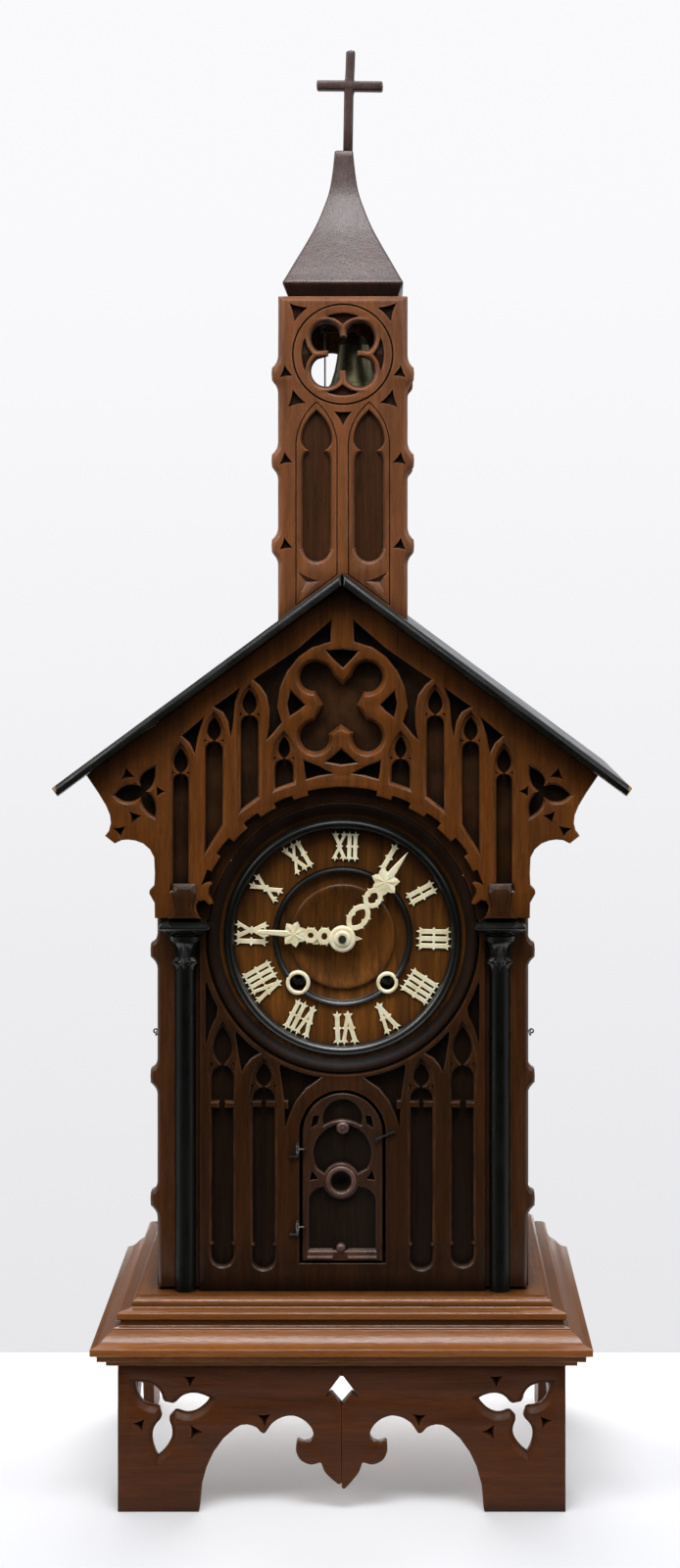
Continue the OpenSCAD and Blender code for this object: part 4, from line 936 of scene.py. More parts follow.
sp_in = [(-43.0, 290.6), (-41.8, 283.0), (-39.8, 268.4), (-37.0, 268.2), (-37.0, 262.9), (-39.4, 262.6), (-39.0, 250.0), (-36.8, 257.4), (-32.0, 267.8), (-25.0, 276.6), (-17.6, 281.8)] + arc(0, DZ, 96.2, 261.2, 243.8, 8)
left_holes = [(front_a, cham(1.5, 1.7)), (front_b, cham(1.5, 1.7)), (sp_left, DEEP), (sp_mid, DEEP), (sp_in, DEEP)]
right_holes = [(flip(p), q) for p, q in left_holes]
bm = bmesh.new()
plate_into(bm, tr_outer, left_holes + right_holes + [(DOOR_HOLE, FINE)], -70.5, -68.6, prof=[(0.7, 0.0), (0.35, 0.12), (0.05, 0.5), (0, 0.8)], back_prof=None)
ARM = cham(1.15, 1.3, 0.15)
holes2 = []
for sgn in (1, -1):
    f = (lambda p: p) if sgn > 0 else flip
    holes2 += [(f(lan_a), ARM), (f(lan_b), ARM), (f(sp_left), FINE), (f(sp_mid), FINE), (f(sp_in), FINE)]
    for cx_, nk_ in ((-81.9, 292.0), (-53.8, 277.0)):
        holes2 += [(wts(f(e)), CHIP) for e in eyelets(cx_, nk_, 7.3, 2.6)]
plate_into(bm, tr_outer, holes2 + [(DOOR_HOLE, FINE)], -68.75, -64.9, prof=[(0, 0.0), (0, 0.3)], back_prof=None)
finish_mesh("facade_tracery_carved", bm, [W_FACADE], "case", ["facade_tracery"])

# board behind the tracery, with the crockets of its edges
CROCK = [(0, -12.5), (0.4, -10), (1.6, -7.6), (3.6, -5.4), (4.7, -4.4), (4.9, 0.6), (4.6, 4.6), (2.4, 6.0), (0.8, 8.2), (0.1, 11), (0, 13)]


def edge_right(x, zs, scale=1.0):
    """Right edge going up with a crocket at each z."""
    out = []
    for z in zs:
        out += [(x + a * scale, z + b) for a, b in CROCK]
    return out


UZ = 628 - 7 * math.sqrt(1 + 0.74 ** 2)
WING = [(-173.9, UZ - 0.74 * 173.9), (-165.9, 478.9), (-160.6, 470.2), (-157.9, 463.6), (-157.3, 458.2), (-158.6, 452.9), (-161.3, 449.6), (-157.9, 446.9), (-154.6, 444.3), (-149.9, 446.6), (-145.3, 446.9), (-140.6, 446.3), (-135.3, 444.3), (-130.7, 440.3), (-127.9, 434.9), (-127.3, 424.0)]
fb = [(-125.8, 138.7), (125.8, 138.7)] + edge_right(126.6, [200, 284, 370]) + flip(WING)[::-1] + [(0, UZ)] + WING + flip(edge_right(126.6, [200, 284, 370]))[::-1]
rect = [(-97.0, 142.0), (97.0, 142.0), (97.0, 391.0)] + arc(0, DZ, 92.6, 7.6, 172.4, 30) + [(-97.0, 391.0)]
bm = bmesh.new()
plate_into(bm, fb, [(rect, [(0, 0), (0, 0.2)])], -67.5, -57.5, prof=[(2.3, 0.0), (1.9, 0.2), (0.15, 1.9), (0, 2.3)], back_prof=((0.4, 0.4),))
gnd = [(-97.3, 139.2), (97.3, 139.2), (97.3, 391.0)] + arc(0, DZ, 92.3, 7.3, -187.3, 72) + [(-97.3, 391.0)]
plate_into(bm, gnd, [(DOOR_HOLE, FINE)], -64.9, -58.0, prof=[(0, 0.0), (0, 0.3)], mat=1)
upper = [(0, UZ - 1.2), (-172.6, UZ - 0.74 * 172.6 - 1.2), (-162.0, 470.2), (-150.0, 455.0), (-120.0, 440.0), (-119.0, 396.0)] + arc(0, DZ, 96.5, 169.9, 10.1, 40) + [(119.0, 396.0), (120.0, 440.0), (150.0, 455.0), (162.0, 470.2), (172.6, UZ - 0.74 * 172.6 - 1.2)]
plate_into(bm, upper, [], -67.58, -66.0, prof=[(0, 0.0), (0, 0.3)], mat=2)
finish_mesh("facade_board_shaped", bm, [W_BOARD, W_GROUND_SHADED, W_GABLE_GROUND_SHADED], "case", ["facade_board"])

# ------------------------------------------------------------------ gable
g_front = [(-127.4, 393.6), (-127.6, 404.0), (-131.2, 410.4), (-131.0, 412.6), (-127.8, 416.0), (-127.4, 424.0)]
arch = []
tabs = [(103.4, 109.2, 100.2), (116.9, 123.7, 99.9), (130.6, 138.0, 99.2), (146.0, 152.5, 100.0)]
pts = [(90, 103.6)]
for a0, a1, rt in tabs:
    pts += [(a, 103.4) for a in range(int(pts[-1][0]) + 3, int(a0), 3)] + [(a0 - 0.25, 103.3), (a0, rt), ((a0 + a1) / 2, rt), (a1, rt), (a1 + 0.25, 103.1)]
pts += [(a, 102.6) for a in (156, 159)]
arch_l = [(r * math.cos(math.radians(a)), DZ + r * math.sin(math.radians(a))) for a, r in pts]
arch_l += [(-93.4, 417.6), (-90.2, 418.4), (-88.6, 417.0), (-90.6, 413.6), (-91.0, 409.8), (-88.6, 405.4), (-88.0, 403.4), (-90.6, 402.6), (-93.8, 405.6), (-97.6, 405.2), (-99.4, 402.0), (-99.2, 398.6), (-97.4, 393.6)]
wing_up = WING[:-1]
half_l = wing_up + g_front[::-1]
left_side = half_l + arch_l[::-1][:-1]
g_loop = [(0, UZ)] + left_side + [(0, DZ + 103.6)] + flip(left_side)[::-1]

L = [(-110.0, 508.4, 491.6, 4.7, 5.2, 413.4), (-87.3, 529.6, 513.6, 4.5, 5.8, (438.9, 457.2)), (-63.2, 548.2, 531.4, 4.7, 5.8, (467.4, 476.2)), (-39.6, 516.4, 501.6, 3.7, 6.1, (481.6, 485.8))]
gl_front, gl_back = [], []
for i, (cx_, ap, nk, hh, hb, sl) in enumerate(L):
    lo_ = lancet(cx_, ap, nk, hh, hb, sl, gap=0.45, head_w=0.75, foot="flat" if i == 0 else "slope")
    fr = hood(cx_, ap + 3.0, nk - 1, hb + 1.4, lo_)
    for sgn in (1, -1):
        f = (lambda p: p) if sgn > 0 else flip
        gl_front.append((f(fr), cham(2.0, 2.4, 0.25)))
        gl_back.append((f(lo_), cham(1.1, 1.5, 0.15)))
        gl_back += [(wts(f(e)), CHIP) for e in eyelets(cx_, nk, hb, 2.6, 0.6)]
spand = [
    [(-60.6, 555.6), (-56.0, 551.6), (-51.4, 545.0), (-49.4, 535.6), (-49.6, 524.0), (-51.4, 514.8), (-48.0, 518.4), (-41.2, 526.4), (-44.4, 537.0), (-42.6, 550.0), (-37.4, 561.6), (-29.6, 571.4), (-20.6, 577.6), (-8.0, 581.4), (-7.7, 596.0), (-30.0, 576.6)],
    [(-87.4, 537.2), (-81.0, 533.6), (-77.4, 527.4), (-75.6, 516.8), (-74.0, 528.8), (-73.0, 540.8), (-70.0, 549.6)],
    [(-109.0, 517.4), (-103.6, 512.6), (-100.2, 505.6), (-98.0, 518.2), (-94.2, 530.0)],
    [(-26.2, 500.8), (-25.6, 494.0), (-24.6, 487.9), (-15.6, 490.6), (-6.6, 491.8), (-15.0, 496.4)],
]
CA, CB, CC = (-137.0, 483.0), (-133.6, 479.6), (-136.8, 475.8)
T1, T2, T3 = (-127.6, 496.0), (-154.8, 477.0), (-127.6, 462.4)
wing_tre = []
for a_, c_a, t_, c_b, b_ in ((CA, (-140.4, 491.0), T1, (-126.0, 485.0), CB), (CB, (-124.8, 474.5), T3, (-137.0, 467.5), CC), (CC, (-147.0, 468.5), T2, (-147.5, 486.8), CA)):
    wing_tre += [(a_[0], a_[1], 0.4)] + [(x, z, 0.9) for x, z in bez(a_, c_a, t_, 8)[1:]] + [(x, z, 0.9) for x, z in bez(t_, c_b, b_, 8)[1:-1]]
chips_w = [chip_loop(-146.0, 491.2, 9.4, 10, 0.9), chip_loop(-124.2, 479.8, 7.0, 270, 1.0), chip_loop(-141.2, 462.6, 8.8, 160, 0.9), chip_loop(-151.0, 453.2, 8.6, 190, 0.9)]
SPAN = [(1.0, 0.0), (0.7, 0.12), (0.0, 0.9)]
for sgn in (1, -1):
    f = (lambda p: p) if sgn > 0 else flip
    for sp in spand:
        gl_front.append((f(sp), SPAN))
        gl_back.append((f(sp), FINE))
    gl_front.append((f(wing_tre), cham(1.7, 1.9, 0.25)))
    gl_back.append((f(wing_tre), FINE))
    gl_front += [(f(c), FINE) for c in chips_w]
    gl_back += [(f(c), ("pit", 2.5)) for c in chips_w]
QX, QZ = -0.9, 536.9


def quatrefoil(r, tips, shoulders, grow=1.0, n=22):
    """Four lobes with an arrowhead between neighbours, counter-clockwise from the right-hand arrowhead."""
    out = []
    for i, (sx, sz) in enumerate(((1, 1), (-1, 1), (-1, -1), (1, -1))):
        cx_, cz_ = sx * 17.7, sz * 20.2
        (ax, az), (bx, bz_) = shoulders[i][1], shoulders[(i + 1) % 4][0]
        a0, a1 = math.atan2(az - cz_, ax - cx_), math.atan2(bz_ - cz_, bx - cx_)
        if a1 < a0:
            a1 += 2 * math.pi
        r0, r1 = math.hypot(ax - cx_, az - cz_) * grow, math.hypot(bx - cx_, bz_ - cz_) * grow
        out.append((tips[i][0], tips[i][1], 0.6))
        for k in range(n + 1):
            t = k / n
            ra = r * grow + (r0 - r * grow) * max(0, 1 - 5 * t) + (r1 - r * grow) * max(0, 5 * t - 4)
            an = a0 + (a1 - a0) * t
            out.append((cx_ + ra * math.cos(an), cz_ + ra * math.sin(an), 1.0))
    return [(QX + x, QZ + z, w) for x, z, w in out]


shd_q = [((17.6, -9.4), (15.6, 10.4)), ((7.9, 21.8), (-5.8, 21.8)), ((-17.6, 10.8), (-18.4, -9.8)), ((-8.6, -18.4), (8.4, -17.6))]
q_in = quatrefoil(10.3, [(10.8, 1.4), (1.0, 14.6), (-12.2, 1.6), (-0.3, -12.0)], shd_q)
q_out = quatrefoil(10.3, [(13.4, 1.0), (1.0, 17.4), (-14.6, 1.2), (-0.3, -14.6)], shd_q, grow=1.16)
tri_q = [
    [(36.4, 11.2), (37.9, 2.4), (36.0, -6.8), (30.6, -2.6), (26.6, 1.6), (30.8, 5.6)],
    [(11.8, 38.0), (1.0, 39.4), (-10.2, 38.4), (-5.0, 32.6), (1.4, 26.8), (6.8, 32.4)],
    [(-34.2, 11.4), (-28.9, 6.0), (-24.4, 1.4), (-29.0, -2.2), (-34.8, -6.0), (-36.5, 2.4)],
    [(-10.2, -37.2), (-5.2, -32.8), (0.2, -28.2), (5.6, -32.8), (10.6, -37.6), (0.2, -39.0)],
]
tri_q = [[(QX + x, QZ + z) for x, z in t_] for t_ in tri_q]
gl_front.append((q_out, cham(1.2, 1.5, 0.2)))
gl_back.append((q_in, cham(1.5, 2.4, 0.2)))
for t_ in tri_q:
    gl_front.append((t_, SPAN))
    gl_back.append((t_, FINE))
bm = bmesh.new()
plate_into(bm, g_loop, gl_front, -76.5, -74.1, prof=[(0.9, 0.0), (0.5, 0.12), (0.1, 0.6), (0, 1.0)], back_prof=None)
plate_into(bm, [(x * 0.9994, z) for x, z in g_loop], gl_back, -74.2, -67.6, prof=[(0, 0.0), (0, 0.3)], back_prof=((0.4, 0.4),))
# pilaster blocks over the capitals
for s in (-1, 1):
    blk = [(-11.2, 393.4), (11.2, 393.4), (10.6, 394.4), (8.2, 396.4), (6.6, 399.4), (6.3, 402.4), (7.4, 406.4), (8.0, 411.0), (7.6, 417.2), (-7.6, 417.2), (-8.0, 411.0), (-7.4, 406.4), (-6.3, 402.4), (-6.6, 399.4), (-8.2, 396.4), (-10.6, 394.4)]
    plate_into(bm, [(s * 107.3 + x, z, 3.0 if z > 413 else 0.8) for x, z in blk], [], -79.4, -74.4, prof=[(1.2, 0.0), (1.1, 0.12), (0, 2.0)], back_prof=None, mat=1)
finish_mesh("gable_tracery_carved", bm, [W_GABLE, W_FACADE], "case", ["gable_tracery"])

# ------------------------------------------------------------------ columns
for s, nm in ((-1, "left"), (1, "right")):
    bm = bmesh.new()
    c = (s * 107.3, -66.5, 0)
    prof = [(0, 138.6), (7.3, 138.6), (7.3, 361.2), (7.7, 361.9), (8.6, 362.6), (8.9, 363.5), (8.6, 364.4), (7.7, 365.1), (7.6, 366.4), (7.7, 369.5), (8.2, 372.6), (9.3, 375.4), (10.2, 376.6), (11.0, 377.4), (11.3, 379.0), (11.0, 380.6), (10.2, 381.3), (9.6, 381.6), (9.6, 383.6), (0, 383.6)]
    lathe_into(bm, prof, c, "Z", 48, a0=160, a1=380)
    # abacus, pointed in section
    rows = []
    for h, z in [(10.6, 381.9), (11.4, 382.2), (15.9, 385.6), (17.2, 386.9), (17.4, 387.6), (17.2, 388.3), (15.9, 389.4), (11.4, 392.8), (10.8, 393.0)]:
        yf, yb = -66.5 + 2.6 - h, -60.5
        cc = 0.9
        rows.append([bm.verts.new(((s * 107.3 + x) * MM, y * MM, z * MM)) for x, y in ((-h, yb), (-h, yf + cc), (-h + cc, yf), (h - cc, yf), (h, yf + cc), (h, yb))])
    for a, b in zip(rows, rows[1:]):
        for i in range(6):
            bm.faces.new((a[i], a[(i + 1) % 6], b[(i + 1) % 6], b[i]))
    bm.faces.new(rows[0])
    bm.faces.new(rows[-1][::-1])
    # pointed leaves on the bell of the capital
    for a in (-135, -90, -45):
        d = Vector((math.cos(math.radians(a)), math.sin(math.radians(a)), 0))
        n = Vector((-d.y, d.x, 0))
        o = Vector((c[0], c[1], 0))
        sect = [(377.0, 9.6, 0.5), (373.6, 9.9, 1.5), (369.6, 8.8, 2.2), (366.4, 8.7, 2.5), (364.2, 11.2, 2.6), (363.4, 12.6, 0.35), (362.4, 10.6, 1.9), (360.4, 8.6, 1.5), (357.0, 7.7, 0.3)]
        prev = None
        for z, rad, w in sect:
            ridge = o + d * rad
            ring = [bm.verts.new((ridge - n * w - d * 1.5 + Vector((0, 0, z))) * MM), bm.verts.new((ridge + Vector((0, 0, z))) * MM), bm.verts.new((ridge + n * w - d * 1.5 + Vector((0, 0, z))) * MM), bm.verts.new((o + d * 6.4 + Vector((0, 0, z))) * MM)]
            if prev:
                for i in range(4):
                    bm.faces.new((prev[i], prev[(i + 1) % 4], ring[(i + 1) % 4], ring[i]))
            else:
                bm.faces.new(ring[::-1])
            prev = ring
        bm.faces.new(prev)
    o = finish_mesh("column_" + nm + "_turned", bm, [B_COL, B_CAP], "case", ["column_" + nm])
    for p in o.data.polygons:
        if p.center.z > 0.3565:
            p.material_index = 1

# ------------------------------------------------------------------ roof
for s, nm in ((-1, "left"), (1, "right")):
    k = math.sqrt(1 + 0.74 ** 2)
    tx, tz = 7 * 0.74 / k, 7 / k
    bm = bmesh.new()
    sect = [(0.15, 628 - 0.1, 1.0), (195.4, 628 - 0.74 * 195.4, 1.0), (196 - 0.25, 628 - 0.74 * 196 - 0.35, 0.3), (196 - tx + 0.2, 628 - 0.74 * 196 - tz + 0.25, 0.3), (196 - tx - 0.5, 628 - 0.74 * 196 - tz + 0.35, 0.3), (0.15, UZ + 0.1, 0.3)]
    plate_into(bm, [(s * x, z, w) for x, z, w in sect], [], -88, -60.6, prof=[(2.9, 0.0), (2.6, 0.12), (0.25, 1.9), (0, 2.2)], back_prof=None)
    in_l = [(44.9, 628 - 0.74 * 44.9), (195.4, 628 - 0.74 * 195.4), (196 - 0.25, 628 - 0.74 * 196 - 0.35), (196 - tx + 0.2, 628 - 0.74 * 196 - tz + 0.25), (196 - tx - 0.5, 628 - 0.74 * 196 - tz + 0.35), (44.9, UZ - 0.74 * 44.9 + 0.1)]
    plate_into(bm, [(s * x, z) for x, z in in_l], [], -62.2, 26.5, prof=[(0, 0), (0, 0.1)], back_prof=None)
    plate_into(bm, [(s * x, z) for x, z, w in sect], [], 24.8, 105, prof=[(0, 0), (0, 0.1)], back_prof=((0.9, 0.9),))
    o = finish_mesh("roof_" + nm + "_board", bm, [B_ROOF, OCHRE], "case", ["roof_" + nm])
    for p in o.data.polygons:
        c0 = p.center
        if abs(c0.x) * 1000 > 192.2 and abs(p.normal.y) < 0.6:
            p.material_index = 1

# ------------------------------------------------------------------ tower
TC = [(0, -13), (0.3, -10.6), (1.4, -8.0), (3.2, -5.8), (4.2, -4.2), (4.5, 0.2), (4.2, 4.2), (2.6, 5.8), (1.1, 8.0), (0.3, 10.4), (0, 12.6)]


def tower_edge(x, zs):
    out = []
    for z in zs:
        out += [(x + a, z + b) for a, b in TC]
    return out


zr = 628 - 0.74 * 44.5
t_right = tower_edge(44.5, [646.5, 705, 764.5])
t_out = [(0, 627.2, 0.1), (44.5, zr - 0.6, 0.1)] + t_right + [(44.2, 817.9), (-44.2, 817.9)] + flip(t_right)[::-1] + [(-44.5, zr - 0.6, 0.1)]
RX, RZ = 0.0, 777.8


def quat2(cx, cz, r, d, tips, half=100, n=16, w=1.0, b=1.7):
    out = []
    for (sx, sz, mid), (tx, tz), (ux, uz) in zip([(1, 1, 45), (-1, 1, 135), (-1, -1, 225), (1, -1, 315)], tips, [(0, 1), (-1, 0), (0, -1), (1, 0)]):
        out += [(cx + tx - ux * b, cz + tz - uz * b, 0.5 * w), (cx + tx + ux * b, cz + tz + uz * b, 0.5 * w)]
        out += [(x, z, w) for x, z in arc(cx + sx * d, cz + sz * d, r, mid - half, mid + half, n)]
    return out


tow_front, tow_back = [], []
for s in (-1, 1):
    cx_ = s * 18.0
    lo_ = []
    right = [(0, 739.0, 0.5)] + [(x, z, 0.5) for x, z in bez((0, 739.0), (9.2, 731.5), (10.4, 719.5), 6)[1:]] + [(x, z, 0.5) for x, z in bez((10.4, 719.5), (10.2, 714.4), (5.4, 711.9), 4)[1:]]
    right += [(5.4, 711.3, 0.5)] + [(x, z, 0.8) for x, z in bez((5.4, 711.3), (9.0, 709.8), (9.7, 704.9), 4)[1:]] + [(9.7, 646.6, 0.9), (9.7, 645.2, 0.9)]
    bot = [(x, z, 0.9) for x, z in arc(0, 645.2, 9.4, 0, -180, 12)]
    left = [(-x, z, w) for x, z, w in right[::-1]][:-1]
    lo_ = [(cx_ + x, z, w) for x, z, w in right + bot + left]
    tow_front.append((lo_, cham(1.9, 2.0, 0.2)))
    tow_back.append((lo_, [(0, 0), (0.0, 0.2)]))
for s in (-1, 1):
    cx_ = s * 18.0
    bor = [(cx_ - 14.4, 605.3 if s < 0 else 626.6), (cx_ - 14.4, 717.5)] + bez((cx_ - 14.4, 717.5), (cx_ - 12.6, 735.0), (cx_, 745.4), 8)[1:] + bez((cx_, 745.4), (cx_ + 12.6, 735.0), (cx_ + 14.4, 717.5), 8)[1:] + [(cx_ + 14.4, 605.3 if s > 0 else 626.6)]
    bor_i = offset(ccw(bor), 0.55)
    lanc = tow_front[0 if s < 0 else 1]
    tow_front[0 if s < 0 else 1] = (bor, [(0.25, 0.0), (0.0, 0.3)], bor_i, lanc)
g_r = circle(RX, RZ, 34.75, 72)
chips_t = [chip_loop(-31.2, 807.6, 13.2, 46, 0.95), chip_loop(31.2, 807.6, 13.2, -46, 0.95), chip_loop(-32.4, 746.6, 12.6, 134, 0.95), chip_loop(32.4, 746.6, 12.6, -134, 0.95), chip_loop(0.2, 735.4, 12.2, 180, 0.9)]
for zc in (764.5, 705, 646.5):
    chips_t += [chip_loop(-39.2, zc + 0.6, 8.8, 128, 1.0), chip_loop(39.2, zc + 0.6, 8.8, -128, 1.0)]
bm = bmesh.new()
TOPCH = [(3.0, 0.0), (2.8, 0.12), (0.25, 2.6), (0, 3.0)]
plate_into(bm, t_out, [q[:2] for q in tow_front] + [(g_r, [(0.25, 0), (0, 0.3)])] + [(c, FINE) for c in chips_t], -62.0, -58.9, prof=TOPCH, back_prof=None)
for q, sx_ in zip(tow_front, (-1, 1)):
    plate_into(bm, q[2], [q[3], (chip_loop(sx_ * 25.2, 621.8, 17.0, 180 + sx_ * 24, 0.85), ("pit", 2.4))], -61.9, -58.9, prof=[(0.3, 0.0), (0.0, 0.35)], back_prof=None)
tri_t = []
for a in (0, 90, 180, 270):
    t0 = [(28.2 * math.cos(math.radians(b)), 28.2 * math.sin(math.radians(b))) for b in (-23, -17, -11, -5, 0, 5, 11, 17, 23)]
    t0 += [(25.3, 8.4), (24.7, 5.8), (23.1, 3.0), (20.9, 0.0), (23.1, -3.0), (24.7, -5.8), (25.3, -8.4)]
    ca, sa = math.cos(math.radians(a)), math.sin(math.radians(a))
    tri_t.append([(RX + x * ca - z * sa, RZ + x * sa + z * ca) for x, z in t0])
q1 = quat2(RX, RZ, 11.3, 11.5, [(10.4, 1.0), (0.4, 12.2), (-10.6, 1.0), (-0.2, -11.2)])
q2 = quat2(RX, RZ, 10.3, 11.5, [(9.8, 1.0), (0.4, 11.6), (-10.0, 1.0), (-0.2, -10.6)], b=1.9)
plate_into(bm, circle(RX, RZ, 33.85, 72), [(q1, cham(1.3, 1.5, 0.2))] + [(t, [(0.7, 0.0), (0.4, 0.12), (0.0, 0.7)]) for t in tri_t], -62.0, -58.9, prof=[(0.5, 0.0), (0.1, 0.3), (0, 0.5)], back_prof=None)
plate_into(bm, t_out, [(q2, cham(0.9, 1.0, 0.15))], -59.0, -56.0, prof=[(0, 0), (0, 0.2)], back_prof=((0.3, 0.3),), mat=1)
finish_mesh("tower_front_carved", bm, [W_TOWER, W_TOWER_GROUND_SHADED], "case", ["tower_front"])

t_back_hole = circle(-10, 770, 16, 40)
plate("tower_back_board", t_out, [(t_back_hole, cham(0.8))], 26, 20, [W_TOWER], "case", "tower_wood", ["tower_back"], prof=[(1.2, 0.0), (0.2, 1.0), (0, 1.2)])
for s, nm in ((-1, "left"), (1, "right")):
    bm = bmesh.new()
    so = [(-55.9, zr - 0.5), (19.9, zr - 0.5), (19.9, 817.9), (-55.9, 817.9)]
    hs, hb2 = [], []
    for cy in (-36, 0):
        rgt = [(0, 739.0, 0.5)] + [(x, z, 0.5) for x, z in bez((0, 739.0), (8.2, 731.5), (9.2, 719.5), 6)[1:]] + [(x, z, 0.5) for x, z in bez((9.2, 719.5), (9.0, 714.4), (4.6, 711.9), 4)[1:]]
        rgt += [(4.6, 711.3, 0.5)] + [(x, z, 0.8) for x, z in bez((4.6, 711.3), (8.0, 709.8), (8.6, 704.9), 4)[1:]] + [(8.6, 645.2, 0.9)]
        bo = [(x, z, 0.9) for x, z in arc(0, 645.2, 8.5, 0, -180, 12)]
        lf = [(-x, z, w) for x, z, w in rgt[::-1]][:-1]
        hs.append(([(cy + x, z, w) for x, z, w in rgt + bo + lf], cham(1.6, 1.8, 0.2)))
    xo, xm, xi = s * 44.5, s * 41.6, s * 38.5
    q3 = quat2(-18, RZ, 11.0, 11.2, [(10.0, 0), (0, 10.8), (-10.0, 0), (0, -10.8)])
    plate_into(bm, so, hs + [(q3, cham(1.2, 1.4, 0.2))], xo, xm, prof=[(0.3, 0), (0, 0.3)], back_prof=None, plane="YZ")
    plate_into(bm, so, [(q3, FINE)], xm + s * 0.1, xi, prof=[(0, 0), (0, 0.2)], plane="YZ", mat=1)
    finish_mesh("tower_side_" + nm + "_carved", bm, [W_TOWER, W_TOWER_GROUND_SHADED], "case", ["tower_side_" + nm])

# spire
bm = bmesh.new()
rings = [(37.4, 818.0), (37.7, 818.3), (40.9, 825.6), (41.4, 826.6), (41.5, 827.4), (41.3, 828.2)]
rings += [(h, z) for z, h in smooth_path([(828.2, 41.3), (833.0, 38.6), (842.4, 33.6), (856.2, 26.1), (869.3, 19.5), (882.4, 14.3), (894.8, 10.3), (909.0, 8.0), (923.6, 6.5)], 3)][1:]
rings += [(6.1, 924.2), (5.4, 924.5)]
loops = []
for h, z in rings:
    rc = 1.0 + 0.016 * h
    loop = []
    for qx, qy, a0 in ((1, -1, -90), (1, 1, 0), (-1, 1, 90), (-1, -1, 180)):
        for i in range(4):
            a = math.radians(a0 + 30 * i)
            loop.append(bm.verts.new(((qx * (h - rc) + rc * math.cos(a)) * MM, (-18 + qy * (h - rc) + rc * math.sin(a)) * MM, z * MM)))
    loops.append(loop)
for a, b in zip(loops, loops[1:]):
    for i in range(16):
        bm.faces.new((a[i], a[(i + 1) % 16], b[(i + 1) % 16], b[i]))
bm.faces.new(loops[0][::-1])
bm.faces.new(loops[-1])
finish_mesh("spire_concave", bm, W_SPIRE, "case", ["spire"], angle=50)

# cross
bm = bmesh.new()
up_l = [(-0.9, 924.4), (6.0, 924.4), (6.2, 945.0), (6.6, 966.9), (8.2, 967.4)]
crs = [(-0.7, 924.5), (6.1, 924.5), (6.4, 945.0), (6.7, 964.5), (7.4, 967.2), (26.4, 966.9), (27.3, 967.8), (27.5, 970.4), (27.1, 973.4), (26.2, 974.0), (7.6, 974.2), (7.1, 975.2), (7.6, 985.0), (7.9, 994.2), (7.2, 995.5), (4.8, 995.9), (2.2, 995.3), (1.4, 994.0), (1.2, 985.0), (0.7, 975.4), (0.1, 974.6), (-18.4, 974.7), (-19.2, 973.9), (-19.4, 971.0), (-19.1, 968.4), (-18.2, 967.7), (-0.3, 967.6), (0.1, 966.6), (-0.3, 945.0)]
plate_into(bm, crs, [], -21.4, -14.6, prof=[(1.5, 0.0), (0.9, 0.25), (0.3, 0.9), (0, 1.7)], back_prof=((0.3, 0.9), (1.0, 0.2)))
finish_mesh("cross_rounded", bm, W_CROSS, "case", ["cross"])

# ------------------------------------------------------------------ dial
bm = bmesh.new()
dp = [(2.7, 0.0), (2.7, -3.8), (6, -4.1), (12, -4.15), (20, -4.5), (27.5, -5.7), (31.5, -6.9), (33.6, -7.45), (34.9, -7.5), (35.5, -7.2), (35.9, -6.4), (36.3, -5.7), (38, -5.5), (43.7, -5.5)]
ring_ = [(44.0, -5.7), (44.2, -7.6), (44.7, -8.7), (45.7, -9.2), (46.5, -9.0), (47.1, -8.3), (47.4, -7.2), (47.5, -6.5)]
outp = [(48.0, -6.45), (73.9, -6.5), (80.4, -6.5), (81.2, -6.6), (84.0, -7.3), (87.5, -8.7), (89.6, -9.55), (91.1, -9.75), (92.0, -9.3), (92.0, 0.0)]
full_p = dp + ring_ + outp
mats_i = [0] * (len(dp) - 1) + [1] * (len(ring_) + 1) + [0] * 4 + [2] * (len(outp) - 5)
lathe_into(bm, full_p, (0, -57.5, DZ), "Y", 128, mats=mats_i)
bm.verts.ensure_lookup_table()
n_ = 128
first = [v for v in bm.verts][:n_]
last = [v for v in bm.verts][-n_:]
for i in range(n_):
    bm.faces.new((first[i], last[i], last[(i + 1) % n_], first[(i + 1) % n_]))
dial = finish_mesh("dial_board_turned", bm, [W_DIAL, B_RING, W_RIM_SHADED], "case", ["dial_board"], angle=40)
cut = bmesh.new()
for s in (-1, 1):
    rings = [[cut.verts.new(((s * 30.5 + 5.6 * math.cos(2 * math.pi * i / 40)) * MM, y * MM, (DZ - 31.366 + 5.6 * math.sin(2 * math.pi * i / 40)) * MM)) for i in range(40)] for y in (-72, -54)]
    for i in range(40):
        cut.faces.new((rings[0][i], rings[0][(i + 1) % 40], rings[1][(i + 1) % 40], rings[1][i]))
    cut.faces.new(rings[0][::-1])
    cut.faces.new(rings[1])
bmesh.ops.recalc_face_normals(cut, faces=cut.faces[:])
cme = bpy.data.meshes.new("cutter")
cut.to_mesh(cme)
cut.free()
cob = bpy.data.objects.new("cutter", cme)
bpy.context.scene.collection.objects.link(cob)
md = dial.modifiers.new("bore", "BOOLEAN")
md.operation = "DIFFERENCE"
md.solver = "EXACT"
md.object = cob
dg = bpy.context.evaluated_depsgraph_get()
new_me = bpy.data.meshes.new_from_object(dial.evaluated_get(dg))
dial.modifiers.remove(md)
dial.data = new_me
bpy.data.objects.remove(cob)

